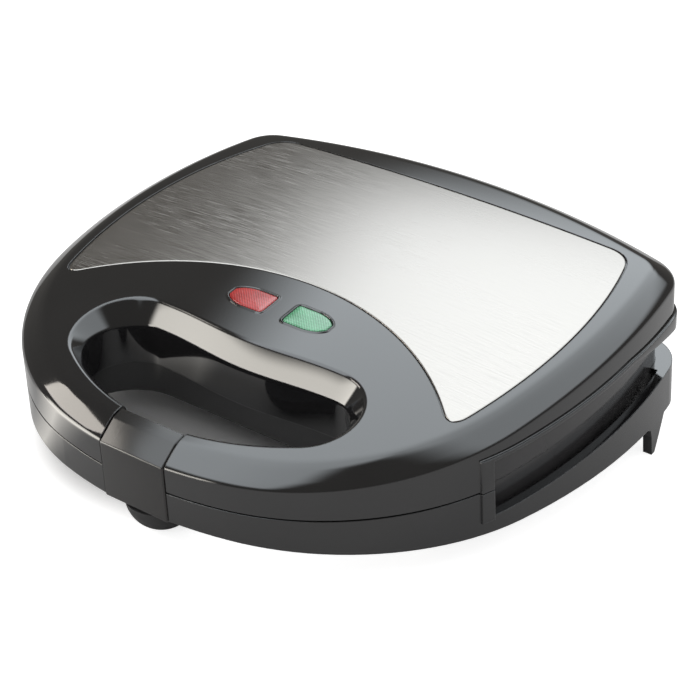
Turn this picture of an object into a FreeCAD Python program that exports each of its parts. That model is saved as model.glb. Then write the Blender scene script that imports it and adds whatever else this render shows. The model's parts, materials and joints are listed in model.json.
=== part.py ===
import FreeCAD, Part
import math
import operator
import os
import Sketcher
from FreeCAD import Placement, Rotation, Vector

# Panini press: a lid that turns on two pins at the rear, and a base that stands on a front foot and
# two corner legs.  Lengths are millimetres and angles degrees.  Everything is drawn in the frame of
# the cooking plates: X to the right, Y to the rear, Z square to the plates, zero where the two
# handle halves meet.  Each finished piece is then leaned and lifted as one, so that the foot and
# the legs stand on Z = 0.

SIZES = {
    # Planform of the body, five tangent arcs on each side
    "body_width": 240, "body_depth": 221.6, "widest_from_middle": 20, "front_radius": 169,
    "shoulder_radius": 101, "side_radius": 264, "corner_radius": 21.5, "rear_radius": 419,
    # Stance
    "lean": 5.33, "stand_height": 36.6, "centre_shift": -0.9,
    # Shells
    "wall": 2.5, "bezel_proud": 1.2, "bezel_width": 5.2, "parting_gap": 0.4, "blank_height": 60,
    "reach": 130,
    # Crowned top and its bevel
    "crown_radius": 800, "crown_summit": 57, "crown_height": 33.6, "crown_sweep": 1500, "bevel_drop": 5,
    "bevel_width": 9,
    # Finger hole
    "hole_front_inset": 15, "hole_rear": -38.5, "hole_front_radius": 108, "hole_end_radius": 21.6,
    "throat_front_inset": 15.8, "throat_rear": -46.4, "throat_front_radius": 90,
    "throat_end_radius": 15, "throat_height": 16, "mouth_front_inset": 9.5, "mouth_rear": -41.4,
    "mouth_front_radius": 110, "mouth_end_radius": 22.5, "mouth_height": 30,
    # Side recess, lip and rail
    "recess_front": -38, "lip_height": 12.5, "lip_bend": 45, "lip_rear": 86, "lip_rear_height": 4.5,
    "lip_end_height": 3, "lip_band": 1.5, "lip_rear_band": 5, "bezel_end": 98, "rail_top": -12.4,
    "rail_thickness": 4, "slot_width": 3, "slot_rear": 79, "bezel_foot": 0.9,
    # Underside and feet
    "underside_height": -22.9, "foot_radius": 14, "foot_centre": -95.5, "leg_front": 61,
    "leg_rear": 79.5, "leg_tip_front": 65.4, "leg_tip_rear": 68.4, "leg_flare": 2.6,
    "leg_flare_drop": 1.6, "leg_toe": 0.6, "leg_toe_drop": 5, "leg_heel_drop": 2, "leg_heel": 1,
    # Skirts round the plates
    "skirt_inset": 7, "skirt_wall": 2.2, "split_height": -3, "skirt_front": -34.5, "skirt_rear": 96,
    "deck_thickness": 2, "belly_proud": 2.4, "belly_shoulder": -17, "belly_taper": 14,
    "belly_reach": -36, "rear_deck": 2.6,
    # Cooking plates
    "plate_width": 200, "plate_front": -31, "plate_rear": 91, "plate_corner": 14, "plate_thickness": 9,
    "plate_gap": 0.6, "plate_rim": 6, "well_depth": 4.5, "rib_height": 2.5, "rib_width": 3.4,
    "rib_pitch": 9.6, "rib_count": 19, "rib_end_gap": 3,
    # Heating elements and reflectors
    "element_diameter": 6.4, "element_half_width": 62, "element_front": -6, "element_rear": 72,
    "element_bend": 22, "reflector_sheet": 0.6, "reflector_seat": 14.5, "reflector_depth": 3,
    "reflector_half_width": 92, "reflector_front": -26, "reflector_rear": 76, "reflector_flange": 5,
    # Plate posts and screws
    "post_across": 80, "post_front": -18, "post_rear": 66, "post_radius": 5, "plate_screw": 4,
    "plate_screw_head": 7.6, "plate_screw_head_height": 2.6, "screw_grip": 5.5, "fixed_fit": 0.02,
    "pass_clearance": 0.3,
    # Case screws
    "case_screw": 3, "case_screw_head": 5.6, "case_screw_head_height": 2, "boss_radius": 4.2,
    "boss_grip": 8, "lid_screw_across": 101.5, "lid_screw_front": -22, "lid_screw_rear_across": 40,
    "lid_screw_rear": 87.3, "tray_screw_inner": 22, "tray_screw_outer": 58, "tray_screw_rear": 99,
    "tray_tab": 10, "tray_tab_length": 6, "front_web": 92, "screw_tip_gap": 1,
    # Hinge
    "hinge_rear": 102, "hinge_across": 62, "hinge_pin": 3.5, "barrel_length": 18, "barrel_radius": 3.9,
    "ear_thickness": 6, "side_gap": 0.4, "running_fit": 0.08,
    # Latch
    "clip_width": 31.4, "clip_gap": 0.3, "clip_front": -109.4, "clip_bottom": -13.4,
    "clip_shoulder": 11, "clip_crest": -101, "clip_crest_height": 17.4, "clip_back": -96,
    "clip_back_height": 18.8, "clip_wall": 2.6, "hook_reach": 1.3, "hook_height": 1.6, "hook_width": 24,
    "latch_swing_gap": 1.6, "latch_undercut": 1.2, "latch_pin_place": -99.5, "latch_pin_height": 9,
    "latch_pin": 2.5, "latch_pin_length": 29, "knuckle_width": 16, "knuckle_radius": 3,
    "block_margin": 2.8, "cheek_top": 4.6, "cheek_brow": 3.5, "cheek_front": 1.3, "cheek_back": 4.2,
    "clip_crest_skin": 2.4, "latch_room": 3, "catch_land": 1,
    # Steel plate
    "sheet_thickness": 0.8, "sheet_apex": -2.7, "sheet_front_radius": 134, "sheet_half_width": 104.3,
    "sheet_side_radius": 200, "sheet_widest": 10, "sheet_rear": 86.5, "sheet_corner": 7,
    "sheet_fit": 0.15,
    # Lamp lenses
    "lens_inner": 5.2, "lens_nose": 24, "lens_middle": -22, "lens_half_height": 5.6,
    "lens_nose_half": 2.4, "lens_taper": 9, "lens_round": 1.6, "lens_proud": 0.5, "lens_seat": 25.6,
    "lens_fit": 0.12, "lens_flange": 1.4, "lamp_diameter": 5, "lamp_holder_height": 2,
    "lamp_holder_margin": 1,
    # Controls and wiring
    "thermostat_diameter": 16, "thermostat_height": 6, "thermostat_place": 30, "fuse_diameter": 4,
    "fuse_length": 16, "fuse_across": 24, "terminal_length": 26, "terminal_depth": 9,
    "terminal_height": 8, "terminal_rear": 92.5, "gland_bore": 7, "gland_body": 10, "gland_length": 6,
    "gland_flange": 14, "gland_flange_depth": 1.5, "gland_height": -23,
}

doc = FreeCAD.newDocument("panini_press")

OPERATIONS = {"+": operator.add, "-": operator.sub, "*": operator.mul, "/": operator.truediv}


class Size:
    """A length with the spreadsheet expression that gives it and its present value."""

    def __init__(self, text, value):
        self.text = text
        self.value = value

    def joined(self, sign, other, swapped=False):
        pair = [self, other if isinstance(other, Size) else Size(str(other), other)]
        left, right = reversed(pair) if swapped else pair
        return Size(f"({left.text} {sign} {right.text})", OPERATIONS[sign](left.value, right.value))

    def __add__(self, other):
        return self.joined("+", other)

    def __radd__(self, other):
        return self.joined("+", other, True)

    def __sub__(self, other):
        return self.joined("-", other)

    def __rsub__(self, other):
        return self.joined("-", other, True)

    def __mul__(self, other):
        return self.joined("*", other)

    def __rmul__(self, other):
        return self.joined("*", other, True)

    def __truediv__(self, other):
        return self.joined("/", other)

    def __neg__(self):
        return self.joined("-", 0, True)


class Sizes:
    """The spreadsheet of driving dimensions, each reached by its alias."""

    def __init__(self, sizes):
        sheet = doc.addObject("Spreadsheet::Sheet", "Sizes")
        for row, (name, value) in enumerate(sizes.items(), start=1):
            sheet.set(f"A{row}", name.replace("_", " "))
            sheet.set(f"B{row}", str(value))
            sheet.setAlias(f"B{row}", name)
        doc.recompute()
        for name in sizes:
            setattr(self, name, Size(f"Sizes.{name}", float(sheet.get(name))))


s = Sizes(SIZES)


# ---------------------------------------------------------------- document helpers

def bind(item, prop, size):
    """Drive a property from the spreadsheet, or set it when the size is a plain number."""
    if isinstance(size, Size):
        item.setExpression(prop, size.text)
    else:
        item.setExpression(prop, str(size))


def box(name, x, y, z):
    """A box between three (low, high) pairs."""
    item = doc.addObject("Part::Box", name)
    for side, axis, (low, high) in zip(("Length", "Width", "Height"), "xyz", (x, y, z)):
        bind(item, side, high - low)
        bind(item, f"Placement.Base.{axis}", low)
    return item


TURNS = {"x": Rotation(Vector(0, 1, 0), 90), "y": Rotation(Vector(1, 0, 0), -90), "z": Rotation()}


def cylinder(name, radius, length, start, axis="z"):
    """A cylinder that runs from start along +X, +Y or +Z."""
    item = doc.addObject("Part::Cylinder", name)
    item.Placement = Placement(Vector(), TURNS[axis])
    bind(item, "Radius", radius)
    bind(item, "Height", length)
    for letter, size in zip("xyz", start):
        bind(item, f"Placement.Base.{letter}", size)
    return item


def fuse(name, *items):
    item = doc.addObject("Part::MultiFuse", name)
    item.Shapes = list(items)
    item.Refine = True
    return item


def common(name, *items):
    item = doc.addObject("Part::MultiCommon", name)
    item.Shapes = list(items)
    return item


def cut(name, base, *tools):
    item = doc.addObject("Part::Cut", name)
    item.Base = base
    item.Tool = tools[0] if len(tools) == 1 else group(f"{name}_tools", *tools)
    return item


def group(name, *items):
    """Several solids kept apart in one object."""
    item = doc.addObject("Part::Compound", name)
    item.Links = list(items)
    return item


def new_sketch(body, name, role="XY_Plane", height=None):
    sketch = body.newObject("Sketcher::SketchObject", name)
    plane = next(item for item in body.Origin.OriginFeatures if item.Role == role)
    sketch.AttachmentSupport = [(plane, "")]
    sketch.MapMode = "FlatFace"
    if height is not None:
        bind(sketch, "AttachmentOffset.Base.z", height)
    return sketch


def dimension(sketch, kind, elements, size):
    """A driving constraint whose value comes from the spreadsheet."""
    index = sketch.addConstraint(Sketcher.Constraint(kind, *elements, size.value))
    sketch.setExpression(f"Constraints[{index}]", size.text)


def locate(sketch, kind, element, place, size):
    """Hold one point of the sketch at a signed distance from the origin along X or Y."""
    if isinstance(size, Size) and abs(size.value) > 1e-9:
        if size.value < 0:
            dimension(sketch, kind, (element, place, -1, 1), -size)
        else:
            dimension(sketch, kind, (-1, 1, element, place), size)
    else:
        sketch.addConstraint(Sketcher.Constraint("PointOnObject", element, place,
                                                 -2 if kind == "DistanceX" else -1))


def value_of(size):
    return size.value if isinstance(size, Size) else float(size)


def polygon(sketch, points):
    """A closed chain of lines through points, each held by both of its coordinates."""
    corners = [Vector(value_of(x), value_of(y), 0) for x, y in points]
    count = len(corners)
    for index, corner in enumerate(corners):
        sketch.addGeometry(Part.LineSegment(corner, corners[(index + 1) % count]))
    for index, (x, y) in enumerate(points):
        sketch.addConstraint(Sketcher.Constraint("Coincident", index, 2, (index + 1) % count, 1))
        locate(sketch, "DistanceX", index, 1, x)
        locate(sketch, "DistanceY", index, 1, y)


def pad(body, sketch, length, middle=False):
    feature = body.newObject("PartDesign::Pad", f"{sketch.Name}_pad")
    feature.Profile = sketch
    feature.Midplane = middle
    bind(feature, "Length", length)
    return feature


def side_prism(name, points, width):
    """A profile in the YZ plane, drawn out by half its width to each side."""
    body = doc.addObject("PartDesign::Body", name)
    sketch = new_sketch(body, f"{name}_profile", "YZ_Plane")
    polygon(sketch, points)
    pad(body, sketch, width, middle=True)
    return body


def upright_edges(shape, low, high):
    """Names of the edges that stand along Z within a box given by two corners."""
    names = []
    for index, edge in enumerate(shape.Edges, 1):
        frame = edge.BoundBox
        if frame.ZLength > 0.1 and max(frame.XLength, frame.YLength) < 0.01:
            centre = frame.Center
            if low.x <= centre.x <= high.x and low.y <= centre.y <= high.y:
                names.append(f"Edge{index}")
    return names


# ---------------------------------------------------------------- planform of the body

def circles_meet(first, first_radius, second, second_radius):
    """The right-hand crossing of two circles."""
    line = second - first
    along = (first_radius ** 2 - second_radius ** 2 + line.Length ** 2) / (2 * line.Length)
    across = math.sqrt(first_radius ** 2 - along ** 2)
    middle = first + line * (along / line.Length)
    side = Vector(-line.y, line.x, 0) * (across / line.Length)
    return max(middle + side, middle - side, key=lambda point: point.x)


def bearing(start, end):
    return math.atan2(end.y - start.y, end.x - start.x)


def outline_arcs(inset):
    """Centre, radius and end angles of the eight arcs of the planform, moved inwards by inset."""
    radii = [getattr(s, f"{name}_radius").value for name in ("front", "shoulder", "side", "corner",
                                                             "rear")]
    half_depth = s.body_depth.value / 2
    front = Vector(0, radii[0] - half_depth, 0)
    side = Vector(s.body_width.value / 2 - radii[2], s.widest_from_middle.value, 0)
    rear = Vector(0, half_depth - radii[4], 0)
    shoulder = circles_meet(front, radii[0] - radii[1], side, radii[2] - radii[1])
    corner = circles_meet(rear, radii[4] - radii[3], side, radii[2] - radii[3])
    turns = [bearing(front, shoulder), bearing(side, shoulder), bearing(side, corner),
             bearing(rear, corner)]
    right = [(shoulder, radii[1], turns[0], turns[1]), (side, radii[2], turns[1], turns[2]),
             (corner, radii[3], turns[2], turns[3])]
    left = [(Vector(-centre.x, centre.y, 0), radius, math.pi - last, math.pi - first)
            for centre, radius, first, last in reversed(right)]
    arcs = [(front, radii[0], -math.pi - turns[0], turns[0]), *right,
            (rear, radii[4], turns[3], math.pi - turns[3]), *left]
    return [(centre, radius - inset, first, last) for centre, radius, first, last in arcs]


def draw_outline(sketch, inset):
    """The planform moved inwards by inset: every arc keeps its centre and loses that much radius."""
    arcs = outline_arcs(value_of(inset))
    for centre, radius, first, last in arcs:
        sketch.addGeometry(Part.ArcOfCircle(Part.Circle(centre, Vector(0, 0, 1), radius), first, last))
    for index in range(len(arcs)):
        sketch.addConstraint(Sketcher.Constraint("Tangent", index, 2, (index + 1) % len(arcs), 1))
    for index, name in enumerate(("front", "shoulder", "side", "corner", "rear")):
        dimension(sketch, "Radius", (index,), getattr(s, f"{name}_radius") - inset)
    for left, right in ((5, 3), (6, 2), (7, 1)):
        sketch.addConstraint(Sketcher.Constraint("Equal", left, right))
    locate(sketch, "DistanceX", 0, 3, 0)
    locate(sketch, "DistanceY", 0, 3, s.front_radius - s.body_depth / 2)
    locate(sketch, "DistanceX", 4, 3, 0)
    locate(sketch, "DistanceY", 4, 3, s.body_depth / 2 - s.rear_radius)
    for index, centre in ((2, s.body_width / 2 - s.side_radius), (6, s.side_radius - s.body_width / 2)):
        locate(sketch, "DistanceX", index, 3, centre)
        locate(sketch, "DistanceY", index, 3, s.widest_from_middle)


def outline_prism(name, inset, low, high):
    """The planform, moved inwards by inset, between two heights."""
    body = doc.addObject("PartDesign::Body", name)
    sketch = new_sketch(body, f"{name}_outline", height=low)
    draw_outline(sketch, inset)
    pad(body, sketch, high - low)
    return body


# ---------------------------------------------------------------- crowned top

def draw_crown(sketch, sunk):
    """The space above the crowned top in side view, with the long axis that it is swept about."""
    radius, reach = s.crown_radius.value, s.reach.value
    centre = Vector(s.crown_summit.value, s.crown_height.value - value_of(sunk) - radius, 0)
    top = s.blank_height + s.wall * 4
    rear_end = math.acos((reach - centre.x) / radius)
    front_end = math.acos((-reach - centre.x) / radius)
    ends = [centre + Vector(math.cos(turn), math.sin(turn), 0) * radius for turn in (rear_end, front_end)]
    corners = [Vector(-reach, top.value, 0), Vector(reach, top.value, 0)]
    axis_height = value_of(s.crown_height - s.crown_sweep)
    sketch.addGeometry(Part.ArcOfCircle(Part.Circle(centre, Vector(0, 0, 1), radius), rear_end, front_end))
    sketch.addGeometry(Part.LineSegment(ends[1], corners[0]))
    sketch.addGeometry(Part.LineSegment(corners[0], corners[1]))
    sketch.addGeometry(Part.LineSegment(corners[1], ends[0]))
    sketch.addGeometry(Part.LineSegment(Vector(-reach, axis_height, 0), Vector(reach, axis_height, 0)), True)
    for last, first in ((0, 1), (1, 2), (2, 3)):
        sketch.addConstraint(Sketcher.Constraint("Coincident", last, 2, first, 1))
    sketch.addConstraint(Sketcher.Constraint("Coincident", 3, 2, 0, 1))
    dimension(sketch, "Radius", (0,), s.crown_radius)
    locate(sketch, "DistanceX", 0, 3, s.crown_summit)
    locate(sketch, "DistanceY", 0, 3, s.crown_height - sunk - s.crown_radius)
    for line, place, x in ((2, 1, -s.reach), (2, 2, s.reach), (4, 1, -s.reach),
                           (4, 2, s.reach)):
        locate(sketch, "DistanceX", line, place, x)
    for line, place in ((2, 1), (2, 2)):
        locate(sketch, "DistanceY", line, place, top)
    for line in (1, 3):
        sketch.addConstraint(Sketcher.Constraint("Vertical", line))
    for place in (1, 2):
        locate(sketch, "DistanceY", 4, place, s.crown_height - s.crown_sweep)


SWEEP_ANGLE = 10


def above_crown(name, sunk):
    """Everything above the crowned surface once it is sunk by a given depth."""
    body = doc.addObject("PartDesign::Body", name)
    sketch = new_sketch(body, f"{name}_side", "YZ_Plane")
    draw_crown(sketch, sunk)
    sweep = body.newObject("PartDesign::Revolution", f"{name}_sweep")
    sweep.Profile = sketch
    sweep.ReferenceAxis = (sketch, ["Axis0"])
    sweep.Angle = SWEEP_ANGLE
    sweep.Midplane = True
    return body


def crowned_form(name, inset, sunk):
    """The lid's outer form, or its hollow: the planform under the crown with a bevelled edge."""
    body = outline_prism(name, inset, s.parting_gap / 2, s.blank_height)
    sketch = new_sketch(body, f"{name}_side", "YZ_Plane")
    draw_crown(sketch, sunk)
    groove = body.newObject("PartDesign::Groove", f"{name}_crown")
    groove.Profile = sketch
    groove.ReferenceAxis = (sketch, ["Axis0"])
    groove.Angle = SWEEP_ANGLE
    groove.Midplane = True
    doc.recompute()
    top_edges = [f"Edge{index}" for index, edge in enumerate(groove.Shape.Edges, 1)
                 if min(point.Z for point in edge.Vertexes) > s.parting_gap.value
                 and max(edge.BoundBox.XLength, edge.BoundBox.YLength) > 0.5]
    bevel = body.newObject("PartDesign::Chamfer", f"{name}_bevel")
    bevel.Base = (groove, top_edges)
    bevel.ChamferType = "Two distances"
    bind(bevel, "Size", s.bevel_drop)
    bind(bevel, "Size2", s.bevel_width)
    return body


# ---------------------------------------------------------------- shared heights and spans

def leaning(function):
    """Sine, cosine or tangent of the lean, as a size."""
    return Size(f"{function}(Sizes.lean * 1deg)", getattr(math, function)(math.radians(s.lean.value)))


def floor_at(y):
    """Height of the surface that the press stands on, below a place y on the plate plane."""
    return -(s.stand_height + y * leaning("sin")) / leaning("cos")


def underside_at(y):
    """Height of the bottom edge of the base, which runs level with the floor."""
    return s.underside_height - y * leaning("tan")


def span(side, low, high):
    """Two heights for the upper half (side 1), or the same two mirrored for the lower half."""
    return (low, high) if side > 0 else (-high, -low)


def middle(width):
    return (-width / 2, width / 2)


ALL_X = (-s.reach, s.reach)
GAP = s.parting_gap / 2
LID_INSET = s.bezel_proud + s.wall
PLATE_BACK = s.plate_gap / 2 + s.plate_thickness
PAN_INSIDE = s.reflector_seat + s.reflector_depth
PAN_OUTSIDE = PAN_INSIDE + s.reflector_sheet
DECK_LOW = s.reflector_seat - s.deck_thickness
TRAY_INSET = s.bezel_proud + s.rail_thickness + s.slot_width
REAR_DECK_LOW = s.rail_top - s.rear_deck
POSTS = [(sign * s.post_across, y) for sign in (-1, 1) for y in (s.post_front, s.post_rear)]
LID_BOSSES = [(sign * x, y) for sign in (-1, 1)
              for x, y in ((s.lid_screw_across, s.lid_screw_front),
                           (s.lid_screw_rear_across, s.lid_screw_rear))]
CLIP_HALF = s.clip_width / 2 + s.clip_gap
BLOCK_HALF = CLIP_HALF + s.block_margin
CLIP_RECESS = s.clip_front + s.clip_wall + s.latch_swing_gap


def draw_hole(sketch, outset, edge):
    """A long hole with a straight rear, round ends and a front arc, all moved outwards by outset."""
    front_inset, rear, front_radius, end_radius = (getattr(s, f"{edge}_{size}") for size in (
        "front_inset", "rear", "front_radius", "end_radius"))
    front_y = front_inset - s.body_depth / 2 + front_radius
    end_y = rear - end_radius
    radii = (value_of(front_radius + outset), value_of(end_radius + outset))
    fall = (end_y - front_y).value
    end_x = math.sqrt((front_radius - end_radius).value ** 2 - fall ** 2)
    turn = math.atan2(fall, end_x)
    top = value_of(rear + outset)
    arcs = ((Vector(0, front_y.value, 0), radii[0], -math.pi - turn, turn),
            (Vector(end_x, end_y.value, 0), radii[1], turn, math.pi / 2),
            (Vector(-end_x, end_y.value, 0), radii[1], math.pi / 2, math.pi - turn))
    shapes = [Part.ArcOfCircle(Part.Circle(centre, Vector(0, 0, 1), radius), first, last)
              for centre, radius, first, last in arcs]
    shapes.insert(2, Part.LineSegment(Vector(end_x, top, 0), Vector(-end_x, top, 0)))
    for shape in shapes:
        sketch.addGeometry(shape)
    for index in range(4):
        sketch.addConstraint(Sketcher.Constraint("Tangent", index, 2, (index + 1) % 4, 1))
    sketch.addConstraint(Sketcher.Constraint("Horizontal", 2))
    sketch.addConstraint(Sketcher.Constraint("Equal", 3, 1))
    dimension(sketch, "Radius", (0,), front_radius + outset)
    dimension(sketch, "Radius", (1,), end_radius + outset)
    locate(sketch, "DistanceX", 0, 3, 0)
    locate(sketch, "DistanceY", 0, 3, front_y)
    locate(sketch, "DistanceY", 1, 3, end_y)


def hole_prism(name, outset, low, high, edge="hole"):
    body = doc.addObject("PartDesign::Body", name)
    sketch = new_sketch(body, f"{name}_outline", height=low)
    draw_hole(sketch, outset, edge)
    pad(body, sketch, high - low)
    return body


def lid_hole(name, outset, low):
    """The lid's hole: an upright throat that opens into a mouth with sloping walls."""
    body = doc.addObject("PartDesign::Body", f"{name}_flare")
    edges = []
    for edge in ("throat", "mouth"):
        sketch = new_sketch(body, f"{name}_{edge}", height=getattr(s, f"{edge}_height"))
        draw_hole(sketch, outset, edge)
        edges.append(sketch)
    flare = body.newObject("PartDesign::AdditiveLoft", f"{name}_loft")
    flare.Profile = edges[0]
    flare.Sections = [edges[1]]
    flare.Ruled = True
    return fuse(name, body, hole_prism(f"{name}_throat_wall", outset, low, s.throat_height, "throat"))


def bezel(name, points, low, high):
    """A raised band on the wall, where a side profile crosses the planform's outer ring."""
    ring = cut(f"{name}_ring", outline_prism(f"{name}_face", 0, low, high),
               outline_prism(f"{name}_back", LID_INSET, low, high))
    return common(name, ring, side_prism(f"{name}_side", points, s.reach * 2))


PIECES = []


def finish(piece):
    """Lean and lift a finished piece with all the others, and keep it for export."""
    piece.Placement = Placement(Vector(), Rotation(Vector(1, 0, 0), s.lean.value))
    piece.setExpression("Placement.Rotation.Angle", s.lean.text)
    bind(piece, "Placement.Base.y", s.centre_shift)
    bind(piece, "Placement.Base.z", s.stand_height)
    PIECES.append(piece)


# ---------------------------------------------------------------- lid

def lid_bezel():
    front = s.recess_front - s.bezel_width
    top = s.lip_height + s.lip_band
    return bezel("lid_bezel", (
        (front, GAP), (s.recess_front, GAP), (s.recess_front, s.lip_height),
        (s.lip_bend, s.lip_height), (s.lip_rear, s.lip_rear_height),
        (s.bezel_end, s.lip_rear_height), (s.bezel_end, s.lip_rear_height + s.lip_rear_band),
        (s.lip_bend, top), (front, top)), GAP, s.blank_height / 2)


def recess_space():
    """What the sides lack behind the handle, so that the skirts show below the lip."""
    space = side_prism("recess_side", (
        (s.recess_front, -1), (s.recess_front, s.lip_height), (s.lip_bend, s.lip_height),
        (s.lip_rear, s.lip_rear_height), (s.reach, s.lip_end_height), (s.reach, -1)), s.reach * 2)
    return cut("recess_space", space, hole_prism("recess_keep", s.wall, -2, s.blank_height, "throat"))


def latch_notch():
    """Room for the clip over its cheeks, and a slot between the cheeks for its knuckle."""
    pin_y, pin_z = s.latch_pin_place, s.latch_pin_height
    over = side_prism("latch_over", (
        (-s.reach, -1), (CLIP_RECESS, -1), (CLIP_RECESS, pin_z + s.cheek_front),
        (pin_y - s.knuckle_radius, pin_z + s.cheek_brow), (pin_y, pin_z + s.cheek_top),
        (s.clip_back + s.latch_room, pin_z + s.cheek_back),
        (s.clip_back + s.latch_room, s.blank_height),
        (-s.reach, s.blank_height)), CLIP_HALF * 2)
    slot = box("knuckle_slot", middle(s.knuckle_width + s.side_gap * 2),
               (-s.reach, s.clip_back + s.latch_room),
               (pin_z - s.knuckle_radius - s.side_gap, s.blank_height))
    pin = cylinder("latch_pin_hole", s.latch_pin / 2 + s.fixed_fit, s.latch_pin_length,
                   (-s.latch_pin_length / 2, pin_y, pin_z), "x")
    return group("latch_notch", over, slot, pin)


def draw_sheet(sketch, grown):
    """The steel plate's outline before its corners are rounded."""
    centre = Vector(0, (s.sheet_apex - s.sheet_front_radius).value, 0)
    side = Vector((s.sheet_half_width - s.sheet_side_radius).value, s.sheet_widest.value, 0)
    hollow, round_ = s.sheet_front_radius - grown, s.sheet_side_radius + grown
    rear = s.sheet_rear + grown
    front = circles_meet(centre, value_of(hollow), side, value_of(round_))
    rise = rear.value - side.y
    back = Vector(side.x + math.sqrt(value_of(round_) ** 2 - rise ** 2), rear.value, 0)
    left = Vector(-side.x, side.y, 0)
    up = Vector(0, 0, 1)
    turns = (bearing(centre, front), bearing(side, front), bearing(side, back))
    sketch.addGeometry(Part.ArcOfCircle(Part.Circle(side, up, value_of(round_)), turns[1], turns[2]))
    sketch.addGeometry(Part.LineSegment(back, Vector(-back.x, back.y, 0)))
    sketch.addGeometry(Part.ArcOfCircle(Part.Circle(left, up, value_of(round_)),
                                        math.pi - turns[2], math.pi - turns[1]))
    sketch.addGeometry(Part.ArcOfCircle(Part.Circle(centre, up, value_of(hollow)),
                                        turns[0], math.pi - turns[0]))
    for first, last in (((0, 2), (1, 1)), ((1, 2), (2, 1)), ((2, 2), (3, 2)), ((3, 1), (0, 1))):
        sketch.addConstraint(Sketcher.Constraint("Coincident", *first, *last))
    sketch.addConstraint(Sketcher.Constraint("Horizontal", 1))
    locate(sketch, "DistanceY", 1, 1, rear)
    for arc, radius in ((0, round_), (2, round_), (3, hollow)):
        dimension(sketch, "Radius", (arc,), radius)
    for arc, x, y in ((0, s.sheet_half_width - s.sheet_side_radius, s.sheet_widest),
                      (2, s.sheet_side_radius - s.sheet_half_width, s.sheet_widest),
                      (3, 0, s.sheet_apex - s.sheet_front_radius)):
        locate(sketch, "DistanceX", arc, 3, x)
        locate(sketch, "DistanceY", arc, 3, y)


def rounded(body, feature, radius, name):
    """Round the upright edges of a padded outline."""
    doc.recompute()
    reach = s.reach.value * 2
    fillet = body.newObject("PartDesign::Fillet", name)
    fillet.Base = (feature, upright_edges(feature.Shape, Vector(-reach, -reach), Vector(reach, reach)))
    bind(fillet, "Radius", radius)
    return fillet


def sheet_layer(name, grown):
    """The steel plate's outline, as deep as the plate is thick, just under the crowned surface."""
    body = doc.addObject("PartDesign::Body", f"{name}_blank")
    sketch = new_sketch(body, f"{name}_outline", height=GAP)
    draw_sheet(sketch, grown)
    rounded(body, pad(body, sketch, s.blank_height / 2 + s.wall * 4), s.sheet_corner, f"{name}_corners")
    return common(f"{name}_cap", body, above_crown(f"{name}_under", s.sheet_thickness))


def lens_prism(name, grown, side):
    """The lamp lens outline: square towards the middle, tapering to a blunt nose outwards."""
    body = doc.addObject("PartDesign::Body", name)
    sketch = new_sketch(body, f"{name}_outline", height=s.lens_seat)
    low, high = s.lens_middle - s.lens_half_height, s.lens_middle + s.lens_half_height
    nose = s.lens_nose_half + grown
    points = [(s.lens_inner - grown, low - grown), (s.lens_nose - s.lens_taper, low - grown),
              (s.lens_nose + grown, s.lens_middle - nose), (s.lens_nose + grown, s.lens_middle + nose),
              (s.lens_nose - s.lens_taper, high + grown), (s.lens_inner - grown, high + grown)]
    polygon(sketch, [(x * side, y) for x, y in points])
    rounded(body, pad(body, sketch, s.blank_height / 4), s.lens_round, f"{name}_corners")
    return body


def lens(name, side):
    flange = cut(f"{name}_flange", lens_prism(f"{name}_foot", s.lens_flange, side),
                 above_crown(f"{name}_foot_top", s.wall))
    window = cut(f"{name}_window", lens_prism(f"{name}_stem", 0, side),
                 above_crown(f"{name}_stem_top", -s.lens_proud))
    finish(fuse(name, flange, window))


def lid_bosses():
    posts = [cylinder(f"lid_boss_{index}", s.boss_radius, s.blank_height / 2, (x, y, s.reflector_seat))
             for index, (x, y) in enumerate(LID_BOSSES)]
    return common("lid_bosses", group("lid_boss_posts", *posts), crowned_form("boss_limit", LID_INSET, 0))


def top_cover():
    keep = [lid_hole("chute_wall", s.wall, GAP),
            box("latch_block", middle(BLOCK_HALF * 2), (-s.reach, s.clip_back), (GAP, s.blank_height)),
            box("recess_wall", ALL_X, (s.recess_front - s.wall, s.recess_front), (GAP, DECK_LOW))]
    hollow = cut("lid_hollow", crowned_form("lid_inside", LID_INSET, s.wall), *keep)
    shell = cut("lid_shell", crowned_form("lid_outside", s.bezel_proud, 0), hollow)
    sheet_seat = sheet_layer("sheet_seat", s.sheet_fit)
    windows = [lens_prism(f"lens_window_{side}", s.lens_fit, side) for side in (-1, 1)]
    screw_holes = [cylinder(f"lid_pilot_{index}", s.case_screw / 2 + s.fixed_fit, s.boss_grip,
                            (x, y, s.reflector_seat)) for index, (x, y) in enumerate(LID_BOSSES)]
    whole = fuse("lid_whole", shell, lid_bezel(), lid_bosses())
    finish(cut("top_cover", whole, lid_hole("lid_hole", 0, -1), recess_space(),
               latch_notch(), sheet_seat, *windows, *screw_holes))


def steel_plate():
    finish(cut("steel_plate", sheet_layer("steel_plate", 0), above_crown("sheet_top", 0)))


def handle_underside():
    """The piece that closes the upper half of the handle from below, all round the throat."""
    blank = common("underside_blank", outline_prism("underside_outline", LID_INSET, GAP, GAP + s.wall),
                   box("underside_reach", ALL_X, (-s.reach, s.recess_front - s.wall), (GAP, s.wall * 2)))
    finish(cut("handle_underside", blank, hole_prism("underside_hole", s.wall, -1, s.wall * 3, "throat"),
               box("underside_latch", middle(BLOCK_HALF * 2), (-s.reach, s.clip_back), (-1, s.wall * 3))))


def skirt_block(name, inset, front, rear, low, high):
    return common(name, outline_prism(f"{name}_outline", inset, low, high),
                  box(f"{name}_ends", ALL_X, (front, rear), (low, high)))


def hinge_cylinders(name, radius, starts, length):
    """Cylinders on the hinge axis; starts give the low X end of each."""
    return [cylinder(f"{name}_{index}", radius, length, (start, s.hinge_rear, s.split_height), "x")
            for index, start in enumerate(starts)]


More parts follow.
